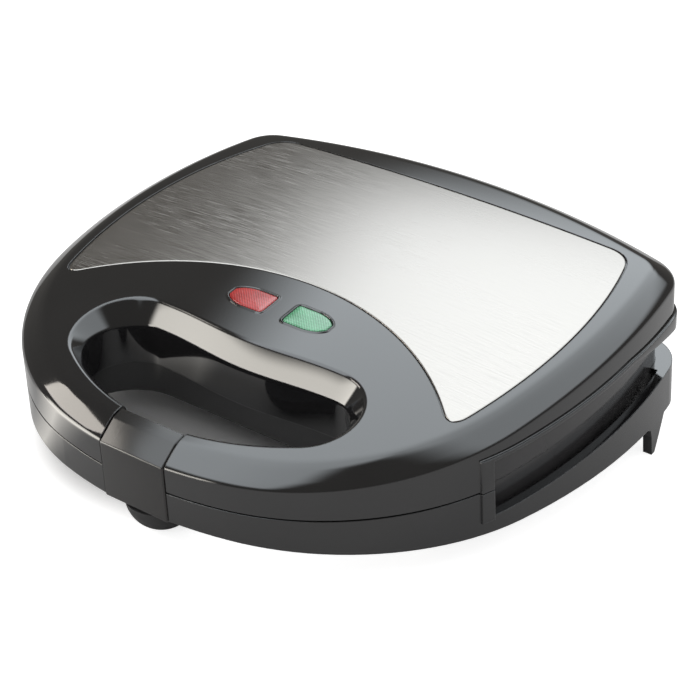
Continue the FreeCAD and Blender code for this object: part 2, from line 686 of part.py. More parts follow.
def upper_frame():
    low, front = s.split_height + s.plate_gap / 2, s.recess_front + s.clip_gap
    skirt = skirt_block("skirt", s.skirt_inset, s.skirt_front, s.skirt_rear, low, s.reflector_seat)
    inside = skirt_block("skirt_inside", s.skirt_inset + s.skirt_wall, s.skirt_front + s.skirt_wall,
                         s.skirt_rear - s.skirt_wall, low, DECK_LOW)
    deck = skirt_block("deck", LID_INSET, front, s.reach, DECK_LOW, s.reflector_seat)
    barrel_x = [s.hinge_across - s.barrel_length / 2, -s.hinge_across - s.barrel_length / 2]
    barrels = hinge_cylinders("barrel", s.barrel_radius, barrel_x, s.barrel_length)
    arms = [box(f"hinge_arm_{index}", (x, x + s.barrel_length), (s.skirt_rear - s.skirt_wall, s.hinge_rear),
                (low, s.split_height + s.barrel_radius)) for index, x in enumerate(barrel_x)]
    bores = hinge_cylinders("barrel_bore", s.hinge_pin / 2 + s.running_fit, barrel_x, s.barrel_length)
    window = box("deck_window", middle(s.reflector_half_width * 2), (s.reflector_front, s.reflector_rear),
                 (low, s.blank_height))
    chute = hole_prism("deck_chute", s.wall, -1, s.blank_height, "throat")
    holes = [cylinder(f"deck_hole_{index}", s.case_screw / 2 + s.pass_clearance, s.deck_thickness * 2,
                      (x, y, DECK_LOW - 1)) for index, (x, y) in enumerate(LID_BOSSES)]
    shell = cut("frame_shell", fuse("frame_blank", skirt, deck), inside)
    finish(cut("upper_frame", fuse("frame_whole", shell, *arms, *barrels), window, chute, *bores, *holes))


def screws(name, head, head_height, shank, length, places, height, side):
    """Screws along Z: the head starts at a height and the shank goes back towards the plates."""
    solids = []
    for index, (x, y) in enumerate(places):
        low, high = span(side, height, height + head_height)
        solids.append(cylinder(f"{name}_head_{index}", head / 2, high - low, (x, y, low)))
        low, high = span(side, height - length, height)
        solids.append(cylinder(f"{name}_shank_{index}", shank / 2, high - low, (x, y, low)))
    return [fuse(f"{name}_{index}", *solids[index * 2:index * 2 + 2]) for index in range(len(places))]


def lid_screws():
    finish(group("lid_screws", *screws(
        "lid_screw", s.case_screw_head, s.case_screw_head_height, s.case_screw,
        s.deck_thickness + s.boss_grip - s.screw_tip_gap, LID_BOSSES, -DECK_LOW, -1)))


def lamps():
    top_of_pan = PAN_OUTSIDE
    centre = (s.lens_inner + s.lens_nose) / 2
    bulbs = [cylinder(f"lamp_{side}", s.lamp_diameter / 2, s.lens_seat - top_of_pan,
                      (centre * side, s.lens_middle, top_of_pan)) for side in (-1, 1)]
    finish(group("indicator_lamps", *bulbs))
    holes = [cylinder(f"lamp_seat_{side}", s.lamp_diameter / 2 + s.fixed_fit, s.lamp_holder_height * 2,
                      (centre * side, s.lens_middle, top_of_pan - 1)) for side in (-1, 1)]
    plate = box("lamp_holder_blank", middle(s.lens_nose * 2),
                (s.reflector_front + s.lamp_holder_margin, s.lens_middle + s.lamp_diameter),
                (top_of_pan, top_of_pan + s.lamp_holder_height))
    finish(cut("lamp_holder", plate, *holes))


# ---------------------------------------------------------------- latch

def latch():
    pin_y, pin_z = s.latch_pin_place, s.latch_pin_height
    lower = s.clip_front + s.clip_wall
    body = side_prism("clip_body", (
        (s.clip_front, s.clip_bottom), (lower, s.clip_bottom), (lower, s.clip_shoulder - s.clip_wall / 2),
        (pin_y, s.clip_crest_height - s.clip_crest_skin), (s.clip_back, s.clip_back_height - s.clip_wall),
        (s.clip_back, s.clip_back_height), (s.clip_crest, s.clip_crest_height),
        (s.clip_front, s.clip_shoulder)), s.clip_width)
    knuckle = cylinder("clip_knuckle", s.knuckle_radius, s.knuckle_width,
                       (-s.knuckle_width / 2, pin_y, pin_z), "x")
    web = box("clip_web", middle(s.knuckle_width), (pin_y - s.knuckle_radius, pin_y + s.knuckle_radius),
              (pin_z, s.clip_crest_height - s.clip_wall))
    hook = box("clip_hook", middle(s.hook_width), (lower, lower + s.hook_reach),
               (s.clip_bottom, s.clip_bottom + s.hook_height))
    bore = cylinder("clip_bore", s.latch_pin / 2 + s.running_fit, s.clip_width,
                    (-s.clip_width / 2, pin_y, pin_z), "x")
    finish(cut("latch_clip", fuse("clip_whole", body, knuckle, web, hook), bore))
    finish(group("latch_pin", cylinder("latch_pin_rod", s.latch_pin / 2, s.latch_pin_length,
                                       (-s.latch_pin_length / 2, pin_y, pin_z), "x")))


# ---------------------------------------------------------------- plates, elements and reflectors

def rectangle(sketch, x, y):
    polygon(sketch, [(x[0], y[0]), (x[1], y[0]), (x[1], y[1]), (x[0], y[1])])


def hotplate(name, side):
    """A cast plate with a rim round a ribbed well, and four hollow posts on its back."""
    body = doc.addObject("PartDesign::Body", name)
    face = s.plate_gap / 2 * side
    blank = new_sketch(body, f"{name}_blank", height=face)
    rectangle(blank, middle(s.plate_width), (s.plate_front, s.plate_rear))
    slab = pad(body, blank, s.plate_thickness)
    slab.Reversed = side < 0
    rounded(body, slab, s.plate_corner, f"{name}_corners")
    well = new_sketch(body, f"{name}_well", height=face)
    rectangle(well, middle(s.plate_width - s.plate_rim * 2),
              (s.plate_front + s.plate_rim, s.plate_rear - s.plate_rim))
    pocket = body.newObject("PartDesign::Pocket", f"{name}_well_cut")
    pocket.Profile = well
    pocket.Reversed = side > 0
    bind(pocket, "Length", s.well_depth)
    rib = new_sketch(body, f"{name}_rib", height=(s.plate_gap / 2 + s.well_depth) * side)
    first = -(s.rib_count - 1) * s.rib_pitch / 2 - s.rib_width / 2
    rectangle(rib, (first, first + s.rib_width), (s.plate_front + s.plate_rim + s.rib_end_gap,
                                                  s.plate_rear - s.plate_rim - s.rib_end_gap))
    rib_pad = pad(body, rib, s.rib_height)
    rib_pad.Reversed = side > 0
    doc.recompute()
    ribs = body.newObject("PartDesign::LinearPattern", f"{name}_ribs")
    ribs.Originals = [rib_pad]
    ribs.Direction = (rib, ["H_Axis"])
    bind(ribs, "Length", (s.rib_count - 1) * s.rib_pitch)
    bind(ribs, "Occurrences", s.rib_count)
    body.Tip = ribs
    posts = new_sketch(body, f"{name}_posts", height=PLATE_BACK * side)
    for index, (x, y) in enumerate(POSTS):
        for ring, radius in enumerate((s.post_radius, s.plate_screw / 2 + s.fixed_fit)):
            posts.addGeometry(Part.Circle(Vector(x.value, y.value, 0), Vector(0, 0, 1), radius.value))
            dimension(posts, "Radius", (index * 2 + ring,), radius)
            locate(posts, "DistanceX", index * 2 + ring, 3, x)
            locate(posts, "DistanceY", index * 2 + ring, 3, y)
    post_pad = pad(body, posts, PAN_INSIDE - PLATE_BACK)
    post_pad.Reversed = side < 0
    body.Tip = post_pad
    finish(body)


def element(name, side):
    """A bent tubular heater that lies on the back of its plate."""
    radius, bend = s.element_diameter / 2, s.element_bend
    z = (PLATE_BACK + radius) * side
    straight = s.element_half_width - bend
    corner_y = s.element_front + bend
    parts = [cylinder(f"{name}_cross", radius, straight * 2, (-straight, s.element_front, z), "x")]
    for sign, turn in ((1, -90), (-1, 180)):
        parts.append(cylinder(f"{name}_leg_{sign}", radius, s.element_rear - corner_y,
                              (s.element_half_width * sign, corner_y, z), "y"))
        quarter = doc.addObject("Part::Torus", f"{name}_bend_{sign}")
        quarter.Placement = Placement(Vector(), Rotation(Vector(0, 0, 1), turn))
        quarter.Angle3 = 90
        bind(quarter, "Radius1", bend)
        bind(quarter, "Radius2", radius)
        for letter, size in zip("xyz", (straight * sign, corner_y, z)):
            bind(quarter, f"Placement.Base.{letter}", size)
        parts.append(quarter)
    finish(fuse(name, *parts))


def reflector(name, side):
    """A shallow sheet pan behind the heater, with a flange that rests on its shelf."""
    half, sheet, flange = s.reflector_half_width, s.reflector_sheet, s.reflector_flange
    y = (s.reflector_front, s.reflector_rear)
    pan = box(f"{name}_pan", middle(half * 2), y, span(side, s.reflector_seat, PAN_OUTSIDE))
    rim = box(f"{name}_rim", middle((half + flange) * 2), (y[0] - flange, y[1] + flange),
              span(side, s.reflector_seat, s.reflector_seat + sheet))
    inside = box(f"{name}_inside", middle((half - sheet) * 2), (y[0] + sheet, y[1] - sheet),
                 span(side, s.reflector_seat - 1, PAN_INSIDE))
    low, high = span(side, PAN_INSIDE - 1, PAN_OUTSIDE + 1)
    holes = [cylinder(f"{name}_hole_{index}", s.plate_screw / 2 + s.pass_clearance, high - low, (*place, low))
             for index, place in enumerate(POSTS)]
    finish(cut(name, fuse(f"{name}_blank", pan, rim), inside, *holes))


def plate_screws(name, side):
    finish(group(name, *screws(
        f"{name}_part", s.plate_screw_head, s.plate_screw_head_height, s.plate_screw,
        s.reflector_sheet + s.screw_grip, POSTS, PAN_OUTSIDE, side)))


# ---------------------------------------------------------------- base

def base_outside(name):
    """The base's outer block: tall at the handle, cut down to the rail behind it."""
    profile = side_prism(f"{name}_side_limits", (
        (-s.reach, -GAP), (-s.reach, underside_at(-s.reach)), (s.reach, underside_at(s.reach)),
        (s.reach, s.rail_top), (s.recess_front, s.rail_top), (s.recess_front, -GAP)), s.reach * 2)
    block = outline_prism(f"{name}_outline", s.bezel_proud, -s.blank_height, -GAP)
    return common(f"{name}_outside", block, profile)


def catch_blank(name):
    """The middle of the handle's lower half, where the catch goes in between the two side lengths."""
    return box(name, middle(CLIP_HALF * 2), (-s.reach, s.hole_rear), (-s.blank_height, 0))


def latch_catch():
    """The insert that the clip hooks under: a lip above an undercut, sloped back above the lip."""
    step = s.clip_bottom + s.hook_height + s.side_gap
    undercut = CLIP_RECESS + s.latch_undercut
    solid = side_prism("catch_side", (
        (CLIP_RECESS, step), (CLIP_RECESS, step + s.catch_land), (undercut, -GAP),
        (s.hole_rear, -GAP), (s.hole_rear, underside_at(s.hole_rear)),
        (undercut, underside_at(undercut)), (undercut, step)), CLIP_HALF * 2)
    inside = common("catch_inside", solid, base_outside("catch"))
    finish(cut("latch_catch", inside, hole_prism("catch_hole", 0, -s.blank_height, 1)))


def base_spaces():
    """The hollows of the base: under the handle, round the tray and under the rear deck."""
    deep = -s.blank_height
    handle = cut("base_handle_space",
                 common("base_handle_hollow", outline_prism("base_inside", LID_INSET, deep, -GAP - s.wall),
                        box("base_handle_reach", ALL_X, (-s.reach, s.recess_front - s.wall), (deep, 0))),
                 hole_prism("base_chute", s.wall, deep, 1),
                 box("catch_cheeks", middle(BLOCK_HALF * 2), (-s.reach, s.hole_rear), (deep, 0)))
    slots = skirt_block("base_slots", s.bezel_proud + s.rail_thickness, s.recess_front, s.slot_rear, deep, 1)
    well = skirt_block("base_well", TRAY_INSET, s.recess_front, s.skirt_rear, deep, 1)
    under = skirt_block("base_rear_space", LID_INSET, s.slot_rear, s.reach, deep, REAR_DECK_LOW)
    round_tray = cut("base_tray_space", fuse("base_tray_spaces", slots, well),
                     hole_prism("base_chute_keep", s.wall, deep, 2),
                     box("front_web", middle(s.front_web), (s.hole_rear, s.skirt_front), (deep, s.rail_top)))
    return [handle, round_tray, under]


def legs():
    """The two rear legs: fins of the side walls that run down to the floor."""
    front, tip = s.leg_front, s.leg_tip_front
    fin = side_prism("leg_side", (
        (front, REAR_DECK_LOW), (front, underside_at(front)),
        (front + s.leg_flare, underside_at(front) - s.leg_flare_drop),
        (tip - s.leg_toe, underside_at(tip) - s.leg_toe_drop), (tip, floor_at(tip)),
        (s.leg_tip_rear, floor_at(s.leg_tip_rear)),
        (s.leg_rear, underside_at(s.leg_rear) + s.leg_heel_drop),
        (s.leg_rear + s.leg_heel, REAR_DECK_LOW)), s.reach * 2)
    ring = cut("leg_ring", outline_prism("leg_face", s.bezel_proud, -s.blank_height, REAR_DECK_LOW),
               outline_prism("leg_back", s.bezel_proud + s.rail_thickness, -s.blank_height, REAR_DECK_LOW))
    return common("legs", ring, fin)


def ears():
    half = s.barrel_length / 2 + s.side_gap
    starts = [sign * s.hinge_across + offset for sign in (-1, 1)
              for offset in (half, -half - s.ear_thickness)]
    posts = [box(f"ear_{index}", (x, x + s.ear_thickness),
                 (s.hinge_rear - s.barrel_radius, s.hinge_rear + s.barrel_radius),
                 (REAR_DECK_LOW, s.split_height)) for index, x in enumerate(starts)]
    return posts + hinge_cylinders("ear_top", s.barrel_radius, starts, s.ear_thickness), starts


def base_shell():
    ear_solids, starts = ears()
    bezel_front = s.recess_front - s.bezel_width
    frame = bezel("base_bezel", (
        (bezel_front, -GAP), (bezel_front, s.rail_top - s.bezel_foot),
        (s.recess_front, s.rail_top - s.bezel_foot),
        (s.recess_front, -GAP)), -s.blank_height, -GAP)
    shell = cut("base_walls", base_outside("base"), *base_spaces())
    whole = fuse("base_whole", shell, frame, legs(), *ear_solids)
    bores = hinge_cylinders("ear_bore", s.hinge_pin / 2 + s.fixed_fit, starts, s.ear_thickness)
    gland = cylinder("gland_hole", s.gland_body / 2 + s.fixed_fit, s.reach,
                     (0, s.skirt_rear, s.gland_height), "y")
    finish(cut("base_shell", whole, hole_prism("base_hole", 0, -s.blank_height, 1),
               catch_blank("catch_socket"), gland, *bores,
               *tray_screw_solids("base_pilot", s.fixed_fit, False)))


def belly_at(y):
    """Height of the tray's bottom, level with the floor and a little below the base's edge."""
    return underside_at(y) - s.belly_proud


def tray_form(name, inward):
    """The tray's outer form, or its inside: a level bottom, and sides that taper towards it."""
    top = s.split_height - s.plate_gap / 2
    block = skirt_block(name, TRAY_INSET + inward, s.skirt_front + inward, s.skirt_rear - inward,
                        -s.blank_height, top)
    level = side_prism(f"{name}_level", (
        (-s.reach, top), (-s.reach, belly_at(-s.reach) + inward), (s.reach, belly_at(s.reach) + inward),
        (s.reach, top)), s.reach * 2)
    half = s.body_width / 2 - TRAY_INSET - inward
    body = doc.addObject("PartDesign::Body", f"{name}_taper")
    sketch = new_sketch(body, f"{name}_taper_profile", "XZ_Plane")
    low, shoulder = s.belly_reach + inward, s.belly_shoulder + inward
    polygon(sketch, [(-half, 0), (-half, shoulder), (s.belly_taper - half, low),
                     (half - s.belly_taper, low), (half, shoulder), (half, 0)])
    pad(body, sketch, s.reach * 2, middle=True)
    return common(f"{name}_form", block, level, body)


TRAY_SCREWS = [x * sign for sign in (-1, 1) for x in (s.tray_screw_inner, s.tray_screw_outer)]


def tray_screw_solids(name, clearance, heads):
    """Four screws up through the tray's tabs into the rear deck, or the holes for them."""
    solids = []
    for index, x in enumerate(TRAY_SCREWS):
        low = REAR_DECK_LOW - s.deck_thickness
        shank = cylinder(f"{name}_{index}", s.case_screw / 2 + clearance,
                         s.deck_thickness + s.rear_deck - s.side_gap, (x, s.tray_screw_rear, low))
        if heads:
            height = s.case_screw_head_height
            head = cylinder(f"{name}_head_{index}", s.case_screw_head / 2, height,
                            (x, s.tray_screw_rear, low - height))
            shank = fuse(f"{name}_whole_{index}", shank, head)
        solids.append(shank)
    return solids


def base_tray():
    seat = -s.reflector_seat - s.reflector_sheet
    slab = box("tray_shelf_slab", ALL_X, (-s.reach, s.reach), (seat - s.deck_thickness, seat))
    shelf = cut("tray_shelf", slab,
                box("tray_window", middle(s.reflector_half_width * 2), (s.reflector_front, s.reflector_rear),
                    (seat - s.deck_thickness * 2, 0)))
    inside = cut("tray_hollow", tray_form("tray_inside", s.skirt_wall), shelf)
    tabs = [box(f"tray_tab_{index}", (x - s.tray_tab / 2, x + s.tray_tab / 2),
                (s.skirt_rear - s.skirt_wall, s.skirt_rear + s.tray_tab_length),
                (REAR_DECK_LOW - s.deck_thickness, REAR_DECK_LOW)) for index, x in enumerate(TRAY_SCREWS)]
    shell = fuse("tray_whole", cut("tray_shell", tray_form("tray_outside", 0), inside), *tabs)
    finish(cut("base_tray", shell, *tray_screw_solids("tray_hole", s.pass_clearance, False)))


def front_foot():
    """A dome under the middle of the handle, cut level where it meets the floor."""
    y = s.foot_centre
    ball = doc.addObject("Part::Sphere", "foot_ball")
    bind(ball, "Radius", s.foot_radius)
    bind(ball, "Placement.Base.y", y)
    bind(ball, "Placement.Base.z", underside_at(y) - s.side_gap / 4)
    limits = side_prism("foot_limits", (
        (y - s.reach, underside_at(y - s.reach)), (y - s.reach, floor_at(y - s.reach)),
        (y + s.reach, floor_at(y + s.reach)), (y + s.reach, underside_at(y + s.reach))), s.reach)
    clear = box("foot_latch_room", ALL_X, (-s.reach, CLIP_RECESS + s.latch_undercut + s.side_gap),
                (s.clip_bottom - s.latch_undercut, 0))
    finish(cut("front_foot", common("foot_dome", ball, limits), clear))


def hinge_pins():
    length = s.barrel_length + (s.side_gap + s.ear_thickness) * 2
    starts = [sign * s.hinge_across - length / 2 for sign in (-1, 1)]
    finish(group("hinge_pins", *hinge_cylinders("hinge_pin", s.hinge_pin / 2, starts, length)))


def controls():
    under_pan = -PAN_OUTSIDE
    front = s.terminal_rear - s.terminal_depth
    floors = [belly_at(y) + s.skirt_wall for y in (front, s.terminal_rear)]
    finish(group("thermostat", cylinder(
        "thermostat_can", s.thermostat_diameter / 2, s.thermostat_height,
        (0, s.thermostat_place, under_pan - s.thermostat_height))))
    finish(group("thermal_fuse", cylinder(
        "fuse_can", s.fuse_diameter / 2, s.fuse_length,
        (s.fuse_across, s.thermostat_place - s.fuse_length / 2, under_pan - s.fuse_diameter / 2), "y")))
    finish(group("terminal_block", side_prism("terminal_body", (
        (front, floors[0]), (s.terminal_rear, floors[1]), (s.terminal_rear, floors[1] + s.terminal_height),
        (front, floors[0] + s.terminal_height)), s.terminal_length)))
    rear = s.body_depth / 2 - s.bezel_proud
    bush = cylinder("gland_bush", s.gland_body / 2, s.gland_length,
                    (0, rear - s.gland_length, s.gland_height), "y")
    flange = cylinder("gland_collar", s.gland_flange / 2, s.gland_flange_depth,
                      (0, rear, s.gland_height), "y")
    bore = cylinder("gland_bore_hole", s.gland_bore / 2, s.gland_length * 2,
                    (0, rear - s.gland_length, s.gland_height), "y")
    finish(cut("cord_gland", fuse("gland_whole", bush, flange), bore))


# ---------------------------------------------------------------- build, check and write

def build():
    top_cover()
    steel_plate()
    lens("power_lens", -1)
    lens("ready_lens", 1)
    lamps()
    upper_frame()
    handle_underside()
    lid_screws()
    latch()
    for half, side in (("upper", 1), ("lower", -1)):
        hotplate(f"{half}_hotplate", side)
        element(f"{half}_element", side)
        reflector(f"{half}_reflector", side)
        plate_screws(f"{half}_plate_screws", side)
    base_shell()
    latch_catch()
    base_tray()
    front_foot()
    hinge_pins()
    finish(group("base_screws", *tray_screw_solids("tray_screw", 0, True)))
    controls()
    doc.recompute()


def check():
    faults = [f"{item.Name}: {item.State}" for item in doc.Objects
              if "Invalid" in item.State or "Error" in item.State]
    faults += [f"{piece.Label}: no valid shape" for piece in PIECES
               if piece.Shape.isNull() or not piece.Shape.isValid() or not piece.Shape.Solids]
    if faults:
        raise RuntimeError("\n".join(faults))


def write():
    os.makedirs("parts", exist_ok=True)
    for piece in PIECES:
        piece.Shape.exportStep(os.path.join("parts", f"{piece.Label}.step"))
        print(f"{piece.Label}: {len(piece.Shape.Solids)} solids, {piece.Shape.Volume:.0f} mm3")


build()
check()
write()
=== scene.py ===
import json
import logging
import math
from dataclasses import dataclass, field
from enum import Enum

import bmesh
import bpy
from mathutils import Matrix, Vector

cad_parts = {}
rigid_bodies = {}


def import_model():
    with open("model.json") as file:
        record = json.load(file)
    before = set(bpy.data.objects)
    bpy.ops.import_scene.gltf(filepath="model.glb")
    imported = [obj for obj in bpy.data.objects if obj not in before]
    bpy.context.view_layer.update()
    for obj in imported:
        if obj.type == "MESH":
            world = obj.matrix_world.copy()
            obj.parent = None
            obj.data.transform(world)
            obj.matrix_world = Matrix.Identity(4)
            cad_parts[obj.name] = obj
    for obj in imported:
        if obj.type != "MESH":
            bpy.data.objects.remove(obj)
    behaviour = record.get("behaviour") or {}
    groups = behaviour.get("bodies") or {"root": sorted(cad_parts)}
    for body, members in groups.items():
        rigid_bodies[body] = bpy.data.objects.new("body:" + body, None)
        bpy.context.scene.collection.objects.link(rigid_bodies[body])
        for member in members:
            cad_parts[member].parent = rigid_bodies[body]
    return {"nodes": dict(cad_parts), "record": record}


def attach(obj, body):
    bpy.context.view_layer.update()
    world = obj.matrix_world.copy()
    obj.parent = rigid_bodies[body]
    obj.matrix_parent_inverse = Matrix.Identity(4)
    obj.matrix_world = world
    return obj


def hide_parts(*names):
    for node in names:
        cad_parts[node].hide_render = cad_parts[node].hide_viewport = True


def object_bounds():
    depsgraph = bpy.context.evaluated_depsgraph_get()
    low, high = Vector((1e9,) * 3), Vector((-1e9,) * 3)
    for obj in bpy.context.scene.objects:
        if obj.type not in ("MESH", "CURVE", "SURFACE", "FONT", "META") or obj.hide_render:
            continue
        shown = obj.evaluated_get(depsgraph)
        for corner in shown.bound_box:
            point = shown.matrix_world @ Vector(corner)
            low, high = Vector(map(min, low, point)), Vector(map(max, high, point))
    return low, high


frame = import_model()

# A panini press with a ring handle.  The cover, the steel inlay, the lamp lenses and the latch clip
# are modelled here; every other piece keeps the mesh of the construction model and gets a finish.
# The new pieces are drawn square to the cooking plates, in millimetres: X to the right, Y to the rear,
# Z up from the parting plane.  Each finished mesh is then leaned into the frame of the construction
# model, in metres.

log = logging.getLogger("panini_press")
MM = 0.001
MERGE_DISTANCE = 0.000001


def clear_startup() -> None:
    """Remove the objects that Blender starts with, which are not part of the frame."""
    kept = {node.name for node in frame["nodes"].values()}
    for item in list(bpy.data.objects):
        if item.type in {"LIGHT", "CAMERA"} or (item.type == "MESH" and item.name not in kept):
            bpy.data.objects.remove(item, do_unlink=True)


clear_startup()
CAD_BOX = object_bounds()


class Body(Enum):
    """The moving bodies that the new pieces ride on."""

    LID = "lid"
    LATCH = "latch"


class Carving(Enum):
    """How one solid acts on another."""

    CUT = "DIFFERENCE"
    KEEP = "INTERSECT"
    JOIN = "UNION"


# ---------------------------------------------------------------- the plate frame

@dataclass(frozen=True)
class PlateFrame:
    """The frame square to the cooking plates, found from the two pivots."""

    hinge: tuple[float, float] = (102.0, -3.0)
    latch: tuple[float, float] = (-99.5, 9.0)

    def matrix(self) -> Matrix:
        """Work out how the plate frame lies in the model's frame.

        Returns:
            The matrix that takes millimetres in the plate frame to metres in the model's frame.
        """
        joints = {joint["name"]: joint["pos_m"] for joint in frame["record"]["behaviour"]["joints"]}
        hinge, latch = Vector(joints["lid_hinge"]), Vector(joints["latch_pivot"])
        drawn = math.atan2(self.hinge[1] - self.latch[1], self.hinge[0] - self.latch[0])
        built = math.atan2(hinge.z - latch.z, hinge.y - latch.y)
        turn = Matrix.Rotation(built - drawn, 4, "X") @ Matrix.Scale(MM, 4)
        return Matrix.Translation(hinge - turn @ Vector((0, *self.hinge))) @ turn


PLATES = PlateFrame().matrix()


# ---------------------------------------------------------------- modelling helpers

def select_only(piece: bpy.types.Object) -> None:
    """Select one object and make it the active one.

    Args:
        piece: The object to select.
    """
    bpy.ops.object.select_all(action="DESELECT")
    piece.select_set(True)
    bpy.context.view_layer.objects.active = piece


def mark_selected(piece: bpy.types.Object, ring: list[Vector]) -> None:
    """Move the selected points of a piece in edit mode onto a ring, by their place number.

    Args:
        piece: The object in edit mode.
        ring: The new places, in the order of the place numbers.
    """
    mesh = bmesh.from_edit_mesh(piece.data)
    place = mesh.verts.layers.int["place"]
    for vertex in mesh.verts:
        if vertex.select:
            vertex.co = ring[vertex[place]]
    bmesh.update_edit_mesh(piece.data)


def loft(name: str, rings: list[list[Vector]], first_cap: bool = True,
         last_cap: bool = True) -> bpy.types.Object:
    """Extrude a circle of edges through a row of rings.

    Args:
        name: The name of the new object.
        rings: Rings with the same number of points each.
        first_cap: Whether the first ring gets a face.
        last_cap: Whether the last ring gets a face.

    Returns:
        The new object, with its faces pointing outwards.
    """
    bpy.ops.object.select_all(action="DESELECT")
    bpy.ops.mesh.primitive_circle_add(vertices=len(rings[0]), radius=1.0,
                                      fill_type="NGON" if first_cap else "NOTHING")
    piece = bpy.context.object
    piece.name = name
    place = piece.data.attributes.new("place", "INT", "POINT")
    for index, point in enumerate(rings[0]):
        piece.data.vertices[index].co = point
        place.data[index].value = index
    bpy.ops.object.mode_set(mode="EDIT")
    bpy.ops.mesh.select_mode(type="VERT")
    bpy.ops.mesh.select_all(action="SELECT")
    for ring in rings[1:]:
        bpy.ops.mesh.extrude_region_move()
        mark_selected(piece, ring)
    if last_cap and not first_cap:
        bpy.ops.mesh.edge_face_add()
    if first_cap and not last_cap:
        bpy.ops.mesh.delete(type="ONLY_FACE")
    bpy.ops.mesh.select_all(action="SELECT")
    bpy.ops.mesh.normals_make_consistent(inside=False)
    bpy.ops.mesh.select_all(action="DESELECT")
    bpy.ops.object.mode_set(mode="OBJECT")
    piece.data.attributes.remove(piece.data.attributes["place"])
    return piece


def lifted(points: list[Vector], height: float) -> list[Vector]:
    """Put plan points at one height.

    Args:
        points: Points in plan.
        height: The height that all of them get.

    Returns:
        The ring at that height.
    """
    return [Vector((point.x, point.y, height)) for point in points]


def draped(points: list[Vector], surface: "Crown", sunk: float) -> list[Vector]:
    """Drop plan points onto the crowned surface.

    Args:
        points: Points in plan.
        surface: The crowned surface.
        sunk: How far below the surface the points lie.

    Returns:
        The ring on the surface.
    """
    return [Vector((point.x, point.y, surface.height(point.x, point.y) - sunk)) for point in points]


def towards(points: list[Vector], centre: Vector, share: float) -> list[Vector]:
    """Draw plan points in towards a centre.

    Args:
        points: Points in plan.
        centre: The point that they close in on.
        share: The share of their distance that is left.

    Returns:
        The smaller ring.
    """
    return [centre + (point - centre) * share for point in points]


def grown(points: list[Vector], outset: float) -> list[Vector]:
    """Move a closed counter-clockwise outline along its own normals.

    Args:
        points: The outline in plan.
        outset: How far outwards it goes.

    Returns:
        The moved outline.
    """
    moved = []
    for index, point in enumerate(points):
        along = points[(index + 1) % len(points)] - points[index - 1]
        moved.append(point + Vector((along.y, -along.x, 0)).normalized() * outset)
    return moved


def prism(name: str, points: list[Vector], low: float, high: float) -> bpy.types.Object:
    """Extrude a plan outline between two heights.

    Args:
        name: The name of the new object.
        points: The outline in plan.
        low: The lower height.
        high: The upper height.

    Returns:
        The new object.
    """
    return loft(name, [lifted(points, low), lifted(points, high)])


def side_prism(name: str, profile: list[tuple[float, float]], left: float,
               right: float) -> bpy.types.Object:
    """Extrude a side profile along X.

    Args:
        name: The name of the new object.
        profile: Corners as Y and Z.
        left: The X where it starts.
        right: The X where it ends.

    Returns:
        The new object.
    """
    return loft(name, [[Vector((x, y, z)) for y, z in profile] for x in (left, right)])


def block(name: str, x: tuple[float, float], y: tuple[float, float],
          z: tuple[float, float]) -> bpy.types.Object:
    """Make a rectangular cutter.

    Args:
        name: The name of the new object.
        x: The low and high X.
        y: The low and high Y.
        z: The low and high Z.

    Returns:
        The new object.
    """
    return side_prism(name, [(y[0], z[0]), (y[1], z[0]), (y[1], z[1]), (y[0], z[1])], *x)


def carve(piece: bpy.types.Object, tool: bpy.types.Object, how: Carving = Carving.CUT) -> None:
    """Cut, keep or join a solid with another, and use the other one up.

    Args:
        piece: The solid that changes.
        tool: The solid that it is worked with.
        how: What the tool does.
    """
    select_only(piece)
    modifier = piece.modifiers.new(tool.name, "BOOLEAN")
    modifier.object = tool
    modifier.operation = how.value
    modifier.solver = "EXACT"
    bpy.ops.object.modifier_apply(modifier=modifier.name)
    bpy.data.objects.remove(tool, do_unlink=True)


def soften(piece: bpy.types.Object, width: float, segments: int = 3, angle: float = 30.0) -> None:
    """Round the sharp edges of a piece.

    Args:
        piece: The piece to round.
        width: The width of the rounding.
        segments: How many faces it gets.
        angle: The least angle between faces that counts as sharp, in degrees.
    """
    select_only(piece)
    modifier = piece.modifiers.new("soft_edges", "BEVEL")
    modifier.width = width
    modifier.segments = segments
    modifier.limit_method = "ANGLE"
    modifier.angle_limit = math.radians(angle)
    bpy.ops.object.modifier_apply(modifier=modifier.name)


def join(pieces: list[bpy.types.Object]) -> bpy.types.Object:
    """Join several meshes into the first of them.

    Args:
        pieces: The meshes, the one that stays first.

    Returns:
        The joined mesh.
    """
    select_only(pieces[0])
    for piece in pieces[1:]:
        piece.select_set(True)
    bpy.ops.object.join()
    return pieces[0]


def settle(piece: bpy.types.Object, body: Body, slot: str, material: bpy.types.Material,
           *nodes: str, smooth: float = 24.0) -> None:
    """Lean a finished piece into the model's frame, dress it and tie it to its body.

    Args:
        piece: The finished mesh, in the plate frame.
        body: The body that it rides on.
        slot: The finish slot of the record that it stands for; not used.
        material: Its material.
        nodes: The nodes of the construction model that it stands for.
        smooth: The angle in degrees up to which its faces are shaded as one surface.
    """
    piece.data.transform(PLATES)
    select_only(piece)
    bpy.ops.object.mode_set(mode="EDIT")
    bpy.ops.mesh.select_all(action="SELECT")
    bpy.ops.mesh.remove_doubles(threshold=MERGE_DISTANCE)
    bpy.ops.object.mode_set(mode="OBJECT")
    bpy.ops.object.shade_smooth_by_angle(angle=math.radians(smooth))
    piece.data.materials.clear()
    piece.data.materials.append(material)
    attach(piece, body.value)
    if nodes:
        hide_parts(*nodes)
    log.info("%s: %d faces", piece.name, len(piece.data.polygons))


# ---------------------------------------------------------------- outlines and the crown

FEWEST_PARTS = 4


